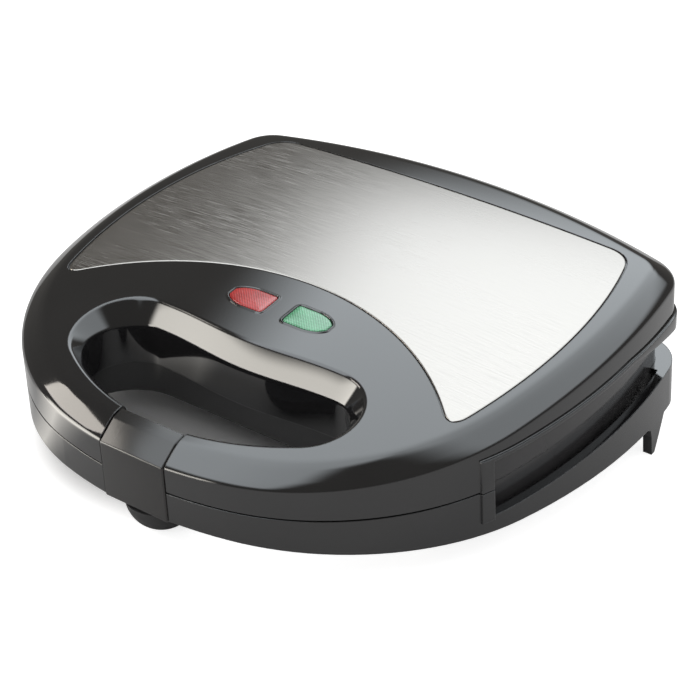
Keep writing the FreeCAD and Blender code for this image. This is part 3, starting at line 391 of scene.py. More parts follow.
@dataclass(frozen=True)
class Arc:
    """A part of a circle in plan, from one turn to a larger one."""

    centre: Vector
    radius: float
    first: float
    last: float

    def points(self, inset: float, step: float) -> list[Vector]:
        """Divide the arc, all but its end.

        Args:
            inset: How much radius it loses.
            step: The length of its parts before it loses any radius.

        Returns:
            Points in plan.
        """
        count = max(FEWEST_PARTS, round(self.radius * (self.last - self.first) / step))
        return swing(self.centre, self.radius - inset, self.first, self.last, count)


def swing(centre: Vector, radius: float, first: float, last: float, count: int,
          ended: bool = False) -> list[Vector]:
    """Divide a part of a circle in plan.

    Args:
        centre: The centre of the circle.
        radius: Its radius.
        first: The turn where the part starts, in radians.
        last: The turn where it ends.
        count: How many lengths it is divided into.
        ended: Whether the point at its end is given too.

    Returns:
        Points in plan.
    """
    turns = (first + (last - first) * index / count for index in range(count + ended))
    return [centre + Vector((math.cos(turn), math.sin(turn), 0)) * radius for turn in turns]


def stride(start: Vector, end: Vector, count: int) -> list[Vector]:
    """Divide a straight line into equal lengths, with both of its ends."""
    return [start.lerp(end, index / count) for index in range(count + 1)]


def mirrored(points: list[Vector]) -> list[Vector]:
    """Mirror plan points from left to right, with the same way round."""
    return [Vector((-point.x, point.y, 0)) for point in reversed(points)]


def circles_meet(first: Vector, first_radius: float, second: Vector, second_radius: float,
                 sign: float = 1.0) -> Vector:
    """Find where two circles cross.

    Args:
        first: The centre of the first circle.
        first_radius: Its radius.
        second: The centre of the second circle.
        second_radius: Its radius.
        sign: Which of the two crossings is wanted.

    Returns:
        The crossing in plan.
    """
    gap = second - first
    along = (first_radius ** 2 - second_radius ** 2 + gap.length ** 2) / (2 * gap.length)
    across = math.sqrt(first_radius ** 2 - along ** 2) * sign
    unit = gap.normalized()
    return first + unit * along + Vector((-unit.y, unit.x, 0)) * across


def bearing(start: Vector, end: Vector) -> float:
    """Give the direction from one plan point to another."""
    return math.atan2(end.y - start.y, end.x - start.x)


@dataclass(frozen=True)
class Planform:
    """The body in plan: eight tangent arcs, each of which keeps its centre when it is inset."""

    width: float = 240.0
    depth: float = 221.6
    widest: float = 20.0
    front: float = 169.0
    shoulder: float = 101.0
    side: float = 264.0
    corner: float = 21.5
    rear: float = 419.0
    step: float = 2.4
    tight: float = 50.0

    def arcs(self) -> list[Arc]:
        """Work out the arcs, counter-clockwise from the left end of the front one.

        Returns:
            The eight arcs.
        """
        front = Vector((0, self.front - self.depth / 2, 0))
        side = Vector((self.width / 2 - self.side, self.widest, 0))
        rear = Vector((0, self.depth / 2 - self.rear, 0))
        shoulder = circles_meet(front, self.front - self.shoulder, side, self.side - self.shoulder)
        corner = circles_meet(side, self.side - self.corner, rear, self.rear - self.corner)
        turns = (bearing(front, shoulder), bearing(side, shoulder), bearing(side, corner),
                 bearing(rear, corner))
        right = [Arc(shoulder, self.shoulder, turns[0], turns[1]),
                 Arc(side, self.side, turns[1], turns[2]), Arc(corner, self.corner, turns[2], turns[3])]
        left = [Arc(Vector((-arc.centre.x, arc.centre.y, 0)), arc.radius, math.pi - arc.last,
                    math.pi - arc.first) for arc in reversed(right)]
        return [Arc(front, self.front, -math.pi - turns[0], turns[0]), *right,
                Arc(rear, self.rear, turns[3], math.pi - turns[3]), *left]

    def ring(self, inset: float) -> list[Vector]:
        """Divide the outline.

        Args:
            inset: How far inside the outline the ring lies.

        Returns:
            Points in plan, as many for every inset.
        """
        return [point for arc in self.arcs()
                for point in arc.points(inset, self.step / 2 if arc.radius < self.tight else self.step)]


@dataclass(frozen=True)
class Crown:
    """The lid's crowned top: an arc in side view, swept across about a far axis."""

    summit_y: float = 57.0
    summit_z: float = 33.6
    radius: float = 800.0
    sweep: float = 1500.0

    def height(self, x: float, y: float) -> float:
        """Give the height of the crown over a plan point."""
        fall = self.radius - math.sqrt(self.radius ** 2 - (y - self.summit_y) ** 2)
        return self.summit_z - fall - (self.sweep - math.sqrt(self.sweep ** 2 - x ** 2))

    def closing(self, outer: list[Vector], centre: Vector, count: int,
                sunk: float = 0.0) -> list[list[Vector]]:
        """Draw rings on the crown that close in on a centre.

        Args:
            outer: The ring that they start from, which isn't among them.
            centre: The point in plan that they close in on.
            count: How many lengths the way inwards is divided into.
            sunk: How far below the crown they lie.

        Returns:
            The rings from the outside inwards.
        """
        return [draped(towards(outer, centre, 1 - index / count), self, sunk) for index in range(1, count)]


@dataclass(frozen=True)
class HoleEdge:
    """One edge of the finger hole: a front arc, two round ends and a slightly bowed rear."""

    front: float
    rear: float
    front_radius: float
    end_radius: float
    bow: float = 0.0
    counts: tuple[int, int, int] = (70, 36, 44)

    def ring(self, outset: float = 0.0) -> list[Vector]:
        """Divide the edge, counter-clockwise from the left end of the front arc.

        Args:
            outset: How far outside the edge the ring lies.

        Returns:
            Points in plan, as many for every outset.
        """
        front = Vector((0, self.front + self.front_radius, 0))
        end_y = self.rear - self.end_radius
        end_x = math.sqrt((self.front_radius - self.end_radius) ** 2 - (end_y - front.y) ** 2)
        right, left = Vector((end_x, end_y, 0)), Vector((-end_x, end_y, 0))
        turn = bearing(front, right)
        long_count, end_count, rear_count = self.counts
        points = swing(front, self.front_radius + outset, -math.pi - turn, turn, long_count)
        points += swing(right, self.end_radius + outset, turn, math.pi / 2, end_count)
        for index in range(rear_count):
            x = end_x * (1 - 2 * index / rear_count)
            dip = self.bow * math.cos(math.pi * x / (2 * end_x)) ** 2
            points.append(Vector((x, self.rear + outset - dip, 0)))
        points += swing(left, self.end_radius + outset, math.pi / 2, math.pi - turn, end_count)
        return points


def curve_between(start: Vector, corner: Vector, end: Vector, share: float) -> Vector:
    """Give a point of the parabola that rounds a corner."""
    left = 1 - share
    return (start * left + corner * share) * left + (corner * left + end * share) * share


def rounded_outline(sides: list[list[Vector]], radius: float, count: int = 8) -> list[Vector]:
    """Round the corners where the sides of an outline meet.

    Args:
        sides: Finely divided sides in order, each from one corner to the next.
        radius: How far from each corner the rounding starts.
        count: How many points each rounding gets.

    Returns:
        The outline in plan.
    """
    trimmed = []
    for side in sides:
        kept = [point for point in side
                if (point - side[0]).length > radius and (point - side[-1]).length > radius]
        trimmed.append(kept)
    outline = []
    for index, kept in enumerate(trimmed):
        following = trimmed[(index + 1) % len(trimmed)]
        corner = sides[index][-1]
        outline += kept
        outline += [curve_between(kept[-1], corner, following[0], (place + 1) / (count + 1))
                    for place in range(count)]
    return outline


PLANFORM = Planform()
CROWN = Crown()


# ---------------------------------------------------------------- shared shader effects

# Most values of a noise pattern lie in this span.
NOISE_SPAN = (0.3, 0.7)

# How often the patterns repeat along each axis, per metre.
MOULD_CLOUDS = Vector((28, 28, 28))
MOULD_PEEL = Vector((900, 900, 900))
FINE_LINES = Vector((70, 3000, 0))
BROAD_LINES = Vector((60, 1300, 0))
LINE_PATCHES = Vector((14, 40, 0))

# How far the tone of a moulded part strays, and how far the lines fade between their patches.
MOULD_TONES = (0.86, 1.14)
PATCH_SPAN = (0.35, 0.65)
PATCH_SHARES = (0.35, 1.0)


def effect_group(name: str, inputs: dict[str, str], outputs: dict[str, str]) -> bpy.types.NodeTree:
    """Start a shader node group.

    Args:
        name: The name of the group.
        inputs: Socket types by input name.
        outputs: Socket types by output name.

    Returns:
        The empty group with its sockets.
    """
    group = bpy.data.node_groups.new(name, "ShaderNodeTree")
    for way, sockets in (("INPUT", inputs), ("OUTPUT", outputs)):
        for label, kind in sockets.items():
            group.interface.new_socket(name=label, in_out=way, socket_type=kind)
    group.nodes.new("NodeGroupInput")
    group.nodes.new("NodeGroupOutput")
    return group


def ends_of(group: bpy.types.NodeTree) -> tuple[bpy.types.Node, bpy.types.Node]:
    """Give the input and output nodes of a group."""
    return (next(node for node in group.nodes if node.type == "GROUP_INPUT"),
            next(node for node in group.nodes if node.type == "GROUP_OUTPUT"))


def add_noise(tree: bpy.types.NodeTree, vector: bpy.types.NodeSocket, stretch: Vector,
              detail: float) -> bpy.types.NodeSocket:
    """Add a noise pattern.

    Args:
        tree: The node tree.
        vector: The coordinates that it reads.
        stretch: How often it repeats along each axis, per metre.
        detail: How fine its detail goes.

    Returns:
        The socket with its value.
    """
    mapping = tree.nodes.new("ShaderNodeMapping")
    mapping.inputs["Scale"].default_value = stretch
    noise = tree.nodes.new("ShaderNodeTexNoise")
    noise.inputs["Scale"].default_value = 1.0
    noise.inputs["Detail"].default_value = detail
    tree.links.new(vector, mapping.inputs["Vector"])
    tree.links.new(mapping.outputs["Vector"], noise.inputs["Vector"])
    return noise.outputs["Fac"]


def add_range(tree: bpy.types.NodeTree, value: bpy.types.NodeSocket, source: tuple[float, float],
              target: tuple[float, float], smooth: bool = False) -> bpy.types.NodeSocket:
    """Map a value from one range to another.

    Args:
        tree: The node tree.
        value: The value that is mapped.
        source: The range that it has.
        target: The range that it gets.
        smooth: Whether the ends are eased.

    Returns:
        The socket with the mapped value.
    """
    node = tree.nodes.new("ShaderNodeMapRange")
    node.interpolation_type = "SMOOTHSTEP" if smooth else "LINEAR"
    for label, number in zip(("From Min", "From Max", "To Min", "To Max"), (*source, *target)):
        node.inputs[label].default_value = number
    tree.links.new(value, node.inputs["Value"])
    return node.outputs["Result"]


def add_maths(tree: bpy.types.NodeTree, kind: str, first: bpy.types.NodeSocket,
              second: bpy.types.NodeSocket | float) -> bpy.types.NodeSocket:
    """Add a sum or product of two values.

    Args:
        tree: The node tree.
        kind: The operation.
        first: The first value.
        second: The second value, a socket or a number.

    Returns:
        The socket with the result.
    """
    node = tree.nodes.new("ShaderNodeMath")
    node.operation = kind
    tree.links.new(first, node.inputs[0])
    if isinstance(second, bpy.types.NodeSocket):
        tree.links.new(second, node.inputs[1])
    else:
        node.inputs[1].default_value = second
    return node.outputs["Value"]


def moulded_skin() -> bpy.types.NodeTree:
    """Make the skin of a moulded part: cloudy gloss, faint tone shifts and a fine peel.

    Returns:
        A group that turns coordinates into a tone, a gloss shift and a height.
    """
    group = effect_group(
        "moulded_skin", {"Vector": "NodeSocketVector", "Cloud": "NodeSocketFloat"},
        {"Tone": "NodeSocketFloat", "Gloss": "NodeSocketFloat", "Height": "NodeSocketFloat"})
    start, end = ends_of(group)
    clouds = add_noise(group, start.outputs["Vector"], MOULD_CLOUDS, 3.0)
    peel = add_noise(group, start.outputs["Vector"], MOULD_PEEL, 2.0)
    centred = add_maths(group, "SUBTRACT", clouds, 0.5)
    group.links.new(add_range(group, clouds, NOISE_SPAN, MOULD_TONES), end.inputs["Tone"])
    group.links.new(add_maths(group, "MULTIPLY", centred, start.outputs["Cloud"]), end.inputs["Gloss"])
    group.links.new(peel, end.inputs["Height"])
    return group


def drawn_lines() -> bpy.types.NodeTree:
    """Make the fine lines of brushed metal, which run along X.

    Returns:
        A group that turns coordinates into streaks around 0 and a height.
    """
    group = effect_group("drawn_lines", {"Vector": "NodeSocketVector"},
                         {"Streak": "NodeSocketFloat", "Height": "NodeSocketFloat"})
    start, end = ends_of(group)
    fine = add_noise(group, start.outputs["Vector"], FINE_LINES, 2.0)
    broad = add_noise(group, start.outputs["Vector"], BROAD_LINES, 3.0)
    patches = add_noise(group, start.outputs["Vector"], LINE_PATCHES, 1.0)
    streak = add_maths(group, "ADD", *(add_range(group, lines, NOISE_SPAN, (-0.5, 0.5))
                                       for lines in (fine, broad)))
    faded = add_maths(group, "MULTIPLY", streak, add_range(group, patches, PATCH_SPAN, PATCH_SHARES))
    group.links.new(faded, end.inputs["Streak"])
    group.links.new(add_maths(group, "ADD", fine, broad), end.inputs["Height"])
    return group


EFFECTS: dict[str, bpy.types.NodeTree] = {}


# ---------------------------------------------------------------- finishes

EDGE_SAMPLES = 4


@dataclass(frozen=True)
class Finish:
    """What every finish has: a name, a colour and a roughness.  Depths and radii are in metres."""

    name: str
    colour: tuple[float, float, float]
    roughness: float

    def start(self) -> tuple[bpy.types.Material, bpy.types.Node, bpy.types.NodeSocket]:
        """Make the material with its shader.

        Returns:
            The material, the shader and the object coordinates.
        """
        material = bpy.data.materials.new(self.name)
        material.use_nodes = True
        tree = material.node_tree
        shader = tree.nodes["Principled BSDF"]
        shader.inputs["Base Color"].default_value = (*self.colour, 1)
        shader.inputs["Roughness"].default_value = self.roughness
        place = tree.nodes.new("ShaderNodeTexCoord")
        return material, shader, place.outputs["Object"]

    def effect(self, tree: bpy.types.NodeTree, name: str,
               vector: bpy.types.NodeSocket) -> bpy.types.Node:
        """Place a shared effect in the material.

        Args:
            tree: The material's node tree.
            name: The name of the effect.
            vector: The coordinates that it reads.

        Returns:
            The group node.
        """
        node = tree.nodes.new("ShaderNodeGroup")
        node.node_tree = EFFECTS[name]
        tree.links.new(vector, node.inputs["Vector"])
        return node

    def tint(self, tree: bpy.types.NodeTree, shader: bpy.types.Node,
             tone: bpy.types.NodeSocket) -> None:
        """Let a tone around 1 lighten and darken the colour.

        Args:
            tree: The material's node tree.
            shader: The shader whose colour it is.
            tone: The factor.
        """
        scale = tree.nodes.new("ShaderNodeVectorMath")
        scale.operation = "SCALE"
        scale.inputs[0].default_value = self.colour
        tree.links.new(tone, scale.inputs["Scale"])
        tree.links.new(scale.outputs["Vector"], shader.inputs["Base Color"])

    def roughen(self, tree: bpy.types.NodeTree, shader: bpy.types.Node,
                shift: bpy.types.NodeSocket) -> None:
        """Let the roughness stray around its own value.

        Args:
            tree: The material's node tree.
            shader: The shader whose roughness it is.
            shift: What is added to it.
        """
        tree.links.new(add_maths(tree, "ADD", shift, self.roughness), shader.inputs["Roughness"])

    def relief(self, tree: bpy.types.NodeTree, shader: bpy.types.Node,
               height: bpy.types.NodeSocket, depth: float, edge: float = 0.0) -> None:
        """Give the surface a fine relief.

        Args:
            tree: The material's node tree.
            shader: The shader that gets it.
            height: The height pattern.
            depth: The depth of the relief.
            edge: The radius that sharp edges seem to have.
        """
        bump = tree.nodes.new("ShaderNodeBump")
        if edge:
            rounding = tree.nodes.new("ShaderNodeBevel")
            rounding.samples = EDGE_SAMPLES
            rounding.inputs["Radius"].default_value = edge
            tree.links.new(rounding.outputs["Normal"], bump.inputs["Normal"])
        bump.inputs["Strength"].default_value = 1.0
        bump.inputs["Distance"].default_value = depth
        tree.links.new(height, bump.inputs["Height"])
        tree.links.new(bump.outputs["Normal"], shader.inputs["Normal"])


@dataclass(frozen=True)
class Moulded(Finish):
    """Moulded plastic or rubber, from gloss to matt."""

    cloud: float = 0.05
    peel: float = 0.000002
    shine: float = 0.5
    edge: float = 0.0

    def make(self) -> bpy.types.Material:
        """Build the material.

        Returns:
            The material.
        """
        material, shader, place = self.start()
        tree = material.node_tree
        skin = self.effect(tree, "moulded_skin", place)
        skin.inputs["Cloud"].default_value = self.cloud
        shader.inputs["Specular IOR Level"].default_value = self.shine
        self.tint(tree, shader, skin.outputs["Tone"])
        self.roughen(tree, shader, skin.outputs["Gloss"])
        self.relief(tree, shader, skin.outputs["Height"], self.peel, self.edge)
        return material


@dataclass(frozen=True)
class Drawn(Finish):
    """Brushed sheet metal, its lines along X."""

    streaks: float = 0.15
    drag: float = 0.7
    depth: float = 0.00000015

    def make(self) -> bpy.types.Material:
        """Build the material.

        Returns:
            The material.
        """
        material, shader, place = self.start()
        tree = material.node_tree
        lines = self.effect(tree, "drawn_lines", place)
        shader.inputs["Metallic"].default_value = 1.0
        tone = add_maths(tree, "MULTIPLY", lines.outputs["Streak"], self.streaks)
        self.tint(tree, shader, add_maths(tree, "ADD", tone, 1.0))
        self.roughen(tree, shader, add_maths(tree, "MULTIPLY", tone, self.drag))
        self.relief(tree, shader, lines.outputs["Height"], self.depth)
        return material


@dataclass(frozen=True)
class Metal(Finish):
    """Plain machine metal: plated screws, pressed pans and bare heaters."""

    mottle: float = 0.18
    grain: float = 0.000004

    def make(self) -> bpy.types.Material:
        """Build the material.

        Returns:
            The material.
        """
        material, shader, place = self.start()
        tree = material.node_tree
        skin = self.effect(tree, "moulded_skin", place)
        skin.inputs["Cloud"].default_value = self.mottle
        shader.inputs["Metallic"].default_value = 1.0
        self.tint(tree, shader, skin.outputs["Tone"])
        self.roughen(tree, shader, skin.outputs["Gloss"])
        self.relief(tree, shader, skin.outputs["Height"], self.grain)
        return material


@dataclass(frozen=True)
class Coated(Finish):
    """The speckled non-stick coating of the cooking plates."""

    cloud: float = 0.1
    grain: float = 0.000012
    specks: float = 1500.0
    speck_span: tuple[float, float] = (0.66, 0.72)
    speck_light: float = 1.6

    def make(self) -> bpy.types.Material:
        """Build the material.

        Returns:
            The material.
        """
        material, shader, place = self.start()
        tree = material.node_tree
        specks = add_noise(tree, place, Vector((self.specks,) * 3), 1.0)
        skin = self.effect(tree, "moulded_skin", place)
        skin.inputs["Cloud"].default_value = self.cloud
        bright = add_range(tree, specks, self.speck_span, (0.0, self.speck_light))
        self.tint(tree, shader, add_maths(tree, "ADD", bright, skin.outputs["Tone"]))
        self.roughen(tree, shader, skin.outputs["Gloss"])
        self.relief(tree, shader, skin.outputs["Height"], self.grain)
        return material


@dataclass(frozen=True)
class Lens(Finish):
    """A coloured lamp lens with a fine prism grid behind its clear face."""

    pitch: float = 0.0013
    depth: float = 0.00002
    grid_tones: tuple[float, float] = (0.55, 1.3)
    clouds: float = 180.0
    cloud_tones: tuple[float, float] = (-0.16, 0.16)
    coat: float = 0.3
    coat_roughness: float = 0.04
    glow: float = 0.12

    def make(self) -> bpy.types.Material:
        """Build the material.

        Returns:
            The material.
        """
        material, shader, place = self.start()
        tree = material.node_tree
        split = tree.nodes.new("ShaderNodeSeparateXYZ")
        tree.links.new(place, split.inputs["Vector"])
        waves = []
        for axis in ("X", "Y"):
            turn = add_maths(tree, "MULTIPLY", split.outputs[axis], 2 * math.pi / self.pitch)
            wave = tree.nodes.new("ShaderNodeMath")
            wave.operation = "SINE"
            tree.links.new(turn, wave.inputs[0])
            waves.append(wave.outputs["Value"])
        grid = add_range(tree, add_maths(tree, "MULTIPLY", *waves), (-1.0, 1.0), (0.0, 1.0))
        cloud = add_noise(tree, place, Vector((self.clouds,) * 3), 2.0)
        tone = add_maths(tree, "ADD", add_range(tree, grid, (0.2, 0.8), self.grid_tones),
                         add_range(tree, cloud, NOISE_SPAN, self.cloud_tones))
        self.tint(tree, shader, tone)
        self.relief(tree, shader, grid, self.depth)
        shader.inputs["Coat Weight"].default_value = self.coat
        shader.inputs["Coat Roughness"].default_value = self.coat_roughness
        shader.inputs["Emission Color"].default_value = (*self.colour, 1)
        shader.inputs["Emission Strength"].default_value = self.glow
        return material


FINISHES = {
    "black_case": Moulded("gloss_black_case", (0.011, 0.0108, 0.0114), 0.06, cloud=0.03, peel=0.0000012,
                          shine=0.75, edge=0.0006),
    "black_frame": Moulded("satin_black_frame", (0.03, 0.029, 0.03), 0.2, cloud=0.08, edge=0.0013),
    "latch_black": Moulded("dark_latch", (0.019, 0.018, 0.0175), 0.22, cloud=0.06, peel=0.000004,
                           edge=0.0004),
    "steel_sheet": Drawn("brushed_sheet", (0.286, 0.269, 0.252), 0.23),
    "red_lens": Lens("red_lamp_glass", (0.4, 0.03, 0.028), 0.16),
    "green_lens": Lens("green_lamp_glass", (0.09, 0.33, 0.17), 0.16),
    "lamp_body": Moulded("lamp_glass", (0.7, 0.69, 0.66), 0.2),
    "plate_coating": Coated("non_stick_coating", (0.018, 0.018, 0.019), 0.36),
    "heater": Metal("heater_sheath", (0.3, 0.28, 0.26), 0.5),
    "pan_sheet": Metal("bright_pan", (0.72, 0.72, 0.7), 0.32),
    "screw_steel": Metal("plated_steel", (0.6, 0.6, 0.58), 0.3),
    "foot_rubber": Moulded("soft_foot", (0.02, 0.02, 0.021), 0.6, cloud=0.15, peel=0.00002),
    "terminal_white": Moulded("terminal_moulding", (0.72, 0.71, 0.67), 0.45),
    "control_metal": Metal("control_can", (0.62, 0.61, 0.58), 0.35),
}
MATERIALS: dict[str, bpy.types.Material] = {}


# ---------------------------------------------------------------- the lid

@dataclass
class Lid:
    """The upper half: the gloss cover with its finger hole, hollows and raised band."""

    face_inset: float = 1.2
    wall: float = 2.5
    parting: float = 0.2
    foot_round: float = 0.35
    bevel_drop: float = 5.0
    bevel_width: float = 9.0
    bevel_bulge: float = 0.35
    bevel_shares: tuple[float, ...] = (0.13, 0.3, 0.5, 0.7, 0.85)
    bevel_end: float = 0.12
    round_below: float = 1.4
    round_above: float = 1.1
    top_round: float = 1.6
    top_bow: float = 0.1
    crown_insets: tuple[float, float] = (13.0, 16.0)
    crown_rings: int = 26
    middle: Vector = field(default_factory=lambda: Vector((0, 5, 0)))
    rim: HoleEdge = HoleEdge(-96.3, -40.6, 108.0, 21.3, 2.7)
    rim_round: float = 1.0
    rim_bend: float = 1.1
    rim_shares: tuple[float, ...] = (0.0, 0.2, 0.4, 0.6, 0.8, 0.93)
    throat: HoleEdge = HoleEdge(-95.0, -45.9, 89.0, 17.0, 2.9)
    throat_height: float = 17.0
    throat_bend: float = 1.2
    throat_shares: tuple[float, ...] = (0.25, 0.5, 0.75)
    hole_low: float = -3.0
    recess_front: float = -38.0
    lip: tuple[tuple[float, float], ...] = ((-38.0, 12.5), (45.0, 12.5), (86.0, 4.5), (130.0, 3.0))
    pocket_top: float = 18.3
    band_width: float = 5.2
    band_top: tuple[tuple[float, float], ...] = ((98.0, 9.5), (45.0, 14.0))
    band_high: tuple[float, float] = (30.0, 40.0)
    band_round: float = 0.55
    sheet_gap: float = 0.6
    sheet_depth: float = 0.9
    seat_rise: float = 20.0
    lens_gap: float = 0.25
    lens_low: float = 15.0
    below: float = -1.0
    above: float = 60.0
    reach: float = 130.0

    def edge_rings(self) -> list[list[Vector]]:
        """Draw the outside of the cover from its bottom edge over the bevel to the crown.

        Returns:
            Rings from the parting plane to the inner edge of the bevel.
        """
        inset, width, drop, end = self.face_inset, self.bevel_width, self.bevel_drop, self.bevel_end
        lower = (Vector((inset, drop + self.round_below)), Vector((inset, drop)),
                 Vector((inset + self.round_above, drop * (1 - end))))
        upper = (Vector((inset + width * (1 - end), drop * end - self.top_bow)),
                 Vector((inset + width, 0)), Vector((inset + width + self.top_round, 0)))
        profile = [curve_between(*lower, share / 5) for share in range(5)]
        for share in self.bevel_shares:
            bulge = self.bevel_bulge * 4 * share * (1 - share)
            profile.append(Vector((inset + width * share, drop * (1 - share) - bulge)))
        profile += [curve_between(*upper, share / 5) for share in range(6)]
        edge = PLANFORM.ring(inset)
        rings = [lifted(PLANFORM.ring(inset + self.foot_round), self.parting),
                 lifted(edge, self.parting + self.foot_round)]
        top = draped(edge, CROWN, drop + self.round_below)
        rings.append([low.lerp(high, 0.5) for low, high in zip(rings[-1], top)])
        return rings + [draped(PLANFORM.ring(place.x), CROWN, place.y) for place in profile]

    def cover_blank(self) -> bpy.types.Object:
        """Make the solid under the crown, bevelled round its edge."""
        crown = [draped(PLANFORM.ring(inset), CROWN, 0) for inset in self.crown_insets]
        inwards = CROWN.closing(crown[-1], self.middle, self.crown_rings)
        return loft("lid_cover", self.edge_rings() + crown + inwards)

    def hole_cutter(self) -> bpy.types.Object:
        """Make the finger hole: an upright throat, sloping walls and a softened rim."""
        throat, rim = self.throat.ring(), draped(self.rim.ring(), CROWN, 0)
        foot = lifted(throat, self.throat_height)
        outer = draped(self.rim.ring(self.rim_round), CROWN, 0)
        slopes = [(high - low).normalized() for low, high in zip(foot, rim)]
        starts = [high - slope * self.rim_bend for high, slope in zip(rim, slopes)]
        bend = [low + slope * self.throat_bend for low, slope in zip(foot, slopes)]
        upright = lifted(throat, self.throat_height - self.throat_bend)
        rings = [lifted(throat, self.hole_low), upright]
        rings += [[curve_between(*ends, share) for ends in zip(upright, foot, bend)]
                  for share in self.throat_shares]
        rings.append(bend)
        rings += [[curve_between(*ends, share) for ends in zip(starts, rim, outer)]
                  for share in self.rim_shares]
        rings.append(lifted(self.rim.ring(self.rim_round), self.above))
        return loft("finger_hole", rings)

    def recess_cutter(self) -> bpy.types.Object:
        """Make the space below the lip, behind the handle."""
        profile = [(self.recess_front, self.below), (self.reach, self.below), *reversed(self.lip)]
        return side_prism("side_recess", profile, -self.reach, self.reach)

    def pocket_cutter(self) -> bpy.types.Object:
        """Make the hollow over the deck, behind the handle."""
        inside = PLANFORM.ring(self.face_inset + self.wall)
        pocket = prism("deck_pocket", inside, self.below, self.pocket_top)
        carve(pocket, block("pocket_reach", (-self.reach, self.reach), (self.recess_front, self.reach),
                            (self.below * 2, self.reach)), Carving.KEEP)
        return pocket

    def frame_band(self) -> bpy.types.Object:
        """Make the raised band that frames the side recess."""
        blank_top, cutter_top = self.band_high
        band = prism("recess_band", PLANFORM.ring(0), self.parting, blank_top)
        inside = PLANFORM.ring(self.face_inset + self.wall)
        carve(band, prism("band_inside", inside, self.below, cutter_top))
        front = self.recess_front - self.band_width
        corners = [(front, self.parting), (self.recess_front, self.parting), *self.lip[:3],
                   (self.band_top[0][0], self.lip[2][1]), *self.band_top, (front, self.band_top[-1][1])]
        carve(band, side_prism("band_side", corners, -self.reach, self.reach), Carving.KEEP)
        soften(band, self.band_round)
        return band

    def build(self, sheet: "SteelSheet", lenses: list["LampLens"], clip: "LatchClip") -> None:
        """Build and dress the cover.

        Args:
            sheet: The inlay that the cover has a seat for.
            lenses: The lenses that it has windows for.
            clip: The clip that it has a notch for.
        """
        cover = self.cover_blank()
        carve(cover, self.hole_cutter())
        carve(cover, self.recess_cutter())
        carve(cover, self.pocket_cutter())
        carve(cover, sheet.seat(self.sheet_gap, self.sheet_depth, self.seat_rise))
        for lens in lenses:
            carve(cover, prism("lens_window", lens.outline(self.lens_gap), self.lens_low, self.above))
        carve(cover, clip.notch())
        rims = [lens.rim() for lens in lenses]
        settle(join([cover, self.frame_band(), *rims]), Body.LID, "black_case",
               MATERIALS["black_case"], "top_cover")


@dataclass
class SteelSheet:
    """The brushed inlay on top of the lid: hollow at the front, straight at the rear, bowed sides."""

    apex: float = -2.7
    front_radius: float = 134.0
    half_width: float = 104.3
    side_radius: float = 200.0
    widest: float = 10.0
    rear: float = 86.5
    corner: float = 8.5
    thickness: float = 0.85
    side_top: float = 0.3
    rolled: tuple[tuple[float, float], ...] = ((0.05, 0.15), (0.17, 0.04), (0.35, -0.02), (0.6, -0.03),
                                               (1.2, -0.03))
    face_inset: float = 2.4
    proud: float = 0.03
    face_rings: int = 24
    seat_rings: int = 12
    counts: tuple[int, int, int] = (60, 80, 90)
    middle: Vector = field(default_factory=lambda: Vector((0, 46, 0)))

    def outline(self, outset: float = 0.0) -> list[Vector]:
        """Draw the inlay in plan, counter-clockwise.

        Args:
            outset: How far outside the inlay the outline lies.

        Returns:
            Points in plan.
        """
        side_count, rear_count, front_count = self.counts
        front = Vector((0, self.apex - self.front_radius, 0))
        side = Vector((self.half_width - self.side_radius, self.widest, 0))
        tip = circles_meet(front, self.front_radius, side, self.side_radius, -1)
        rise = math.asin((self.rear - self.widest) / self.side_radius)
        right = swing(side, self.side_radius, bearing(side, tip), rise, side_count, True)
        back = stride(right[-1], Vector((-right[-1].x, self.rear, 0)), rear_count)
        turn = bearing(front, tip)
        hollow = swing(front, self.front_radius, math.pi - turn, turn, front_count, True)
        return grown(rounded_outline([right, back, mirrored(right), hollow], self.corner), outset)

    def seat(self, gap: float, depth: float, rise: float) -> bpy.types.Object:
        """Make the room that the cover leaves for the inlay, its floor parallel to the crown.

        Args:
            gap: How far it is larger in plan.
            depth: How far its floor lies under the crown.
            rise: How far its top stands over the crown.

        Returns:
            The cutter.
        """
        plan, count = self.outline(gap), self.seat_rings
        rings = [draped(towards(plan, self.middle, share / count), CROWN, depth)
                 for share in range(1, count + 1)]
        rings.append(draped(plan, CROWN, -rise))
        return loft("sheet_seat", rings)

    def build(self) -> None:
        """Build and dress the sheet with its rolled edge."""
        plan = self.outline()
        rings = [draped(plan, CROWN, self.thickness), draped(plan, CROWN, self.side_top)]
        rings += [draped(grown(plan, -inset), CROWN, sunk) for inset, sunk in self.rolled]
        inner = grown(plan, -self.face_inset)
        rings.append(draped(inner, CROWN, -self.proud))
        rings += CROWN.closing(inner, self.middle, self.face_rings, -self.proud)
        settle(loft("brushed_inlay", rings), Body.LID, "steel_sheet", MATERIALS["steel_sheet"],
               "steel_plate")


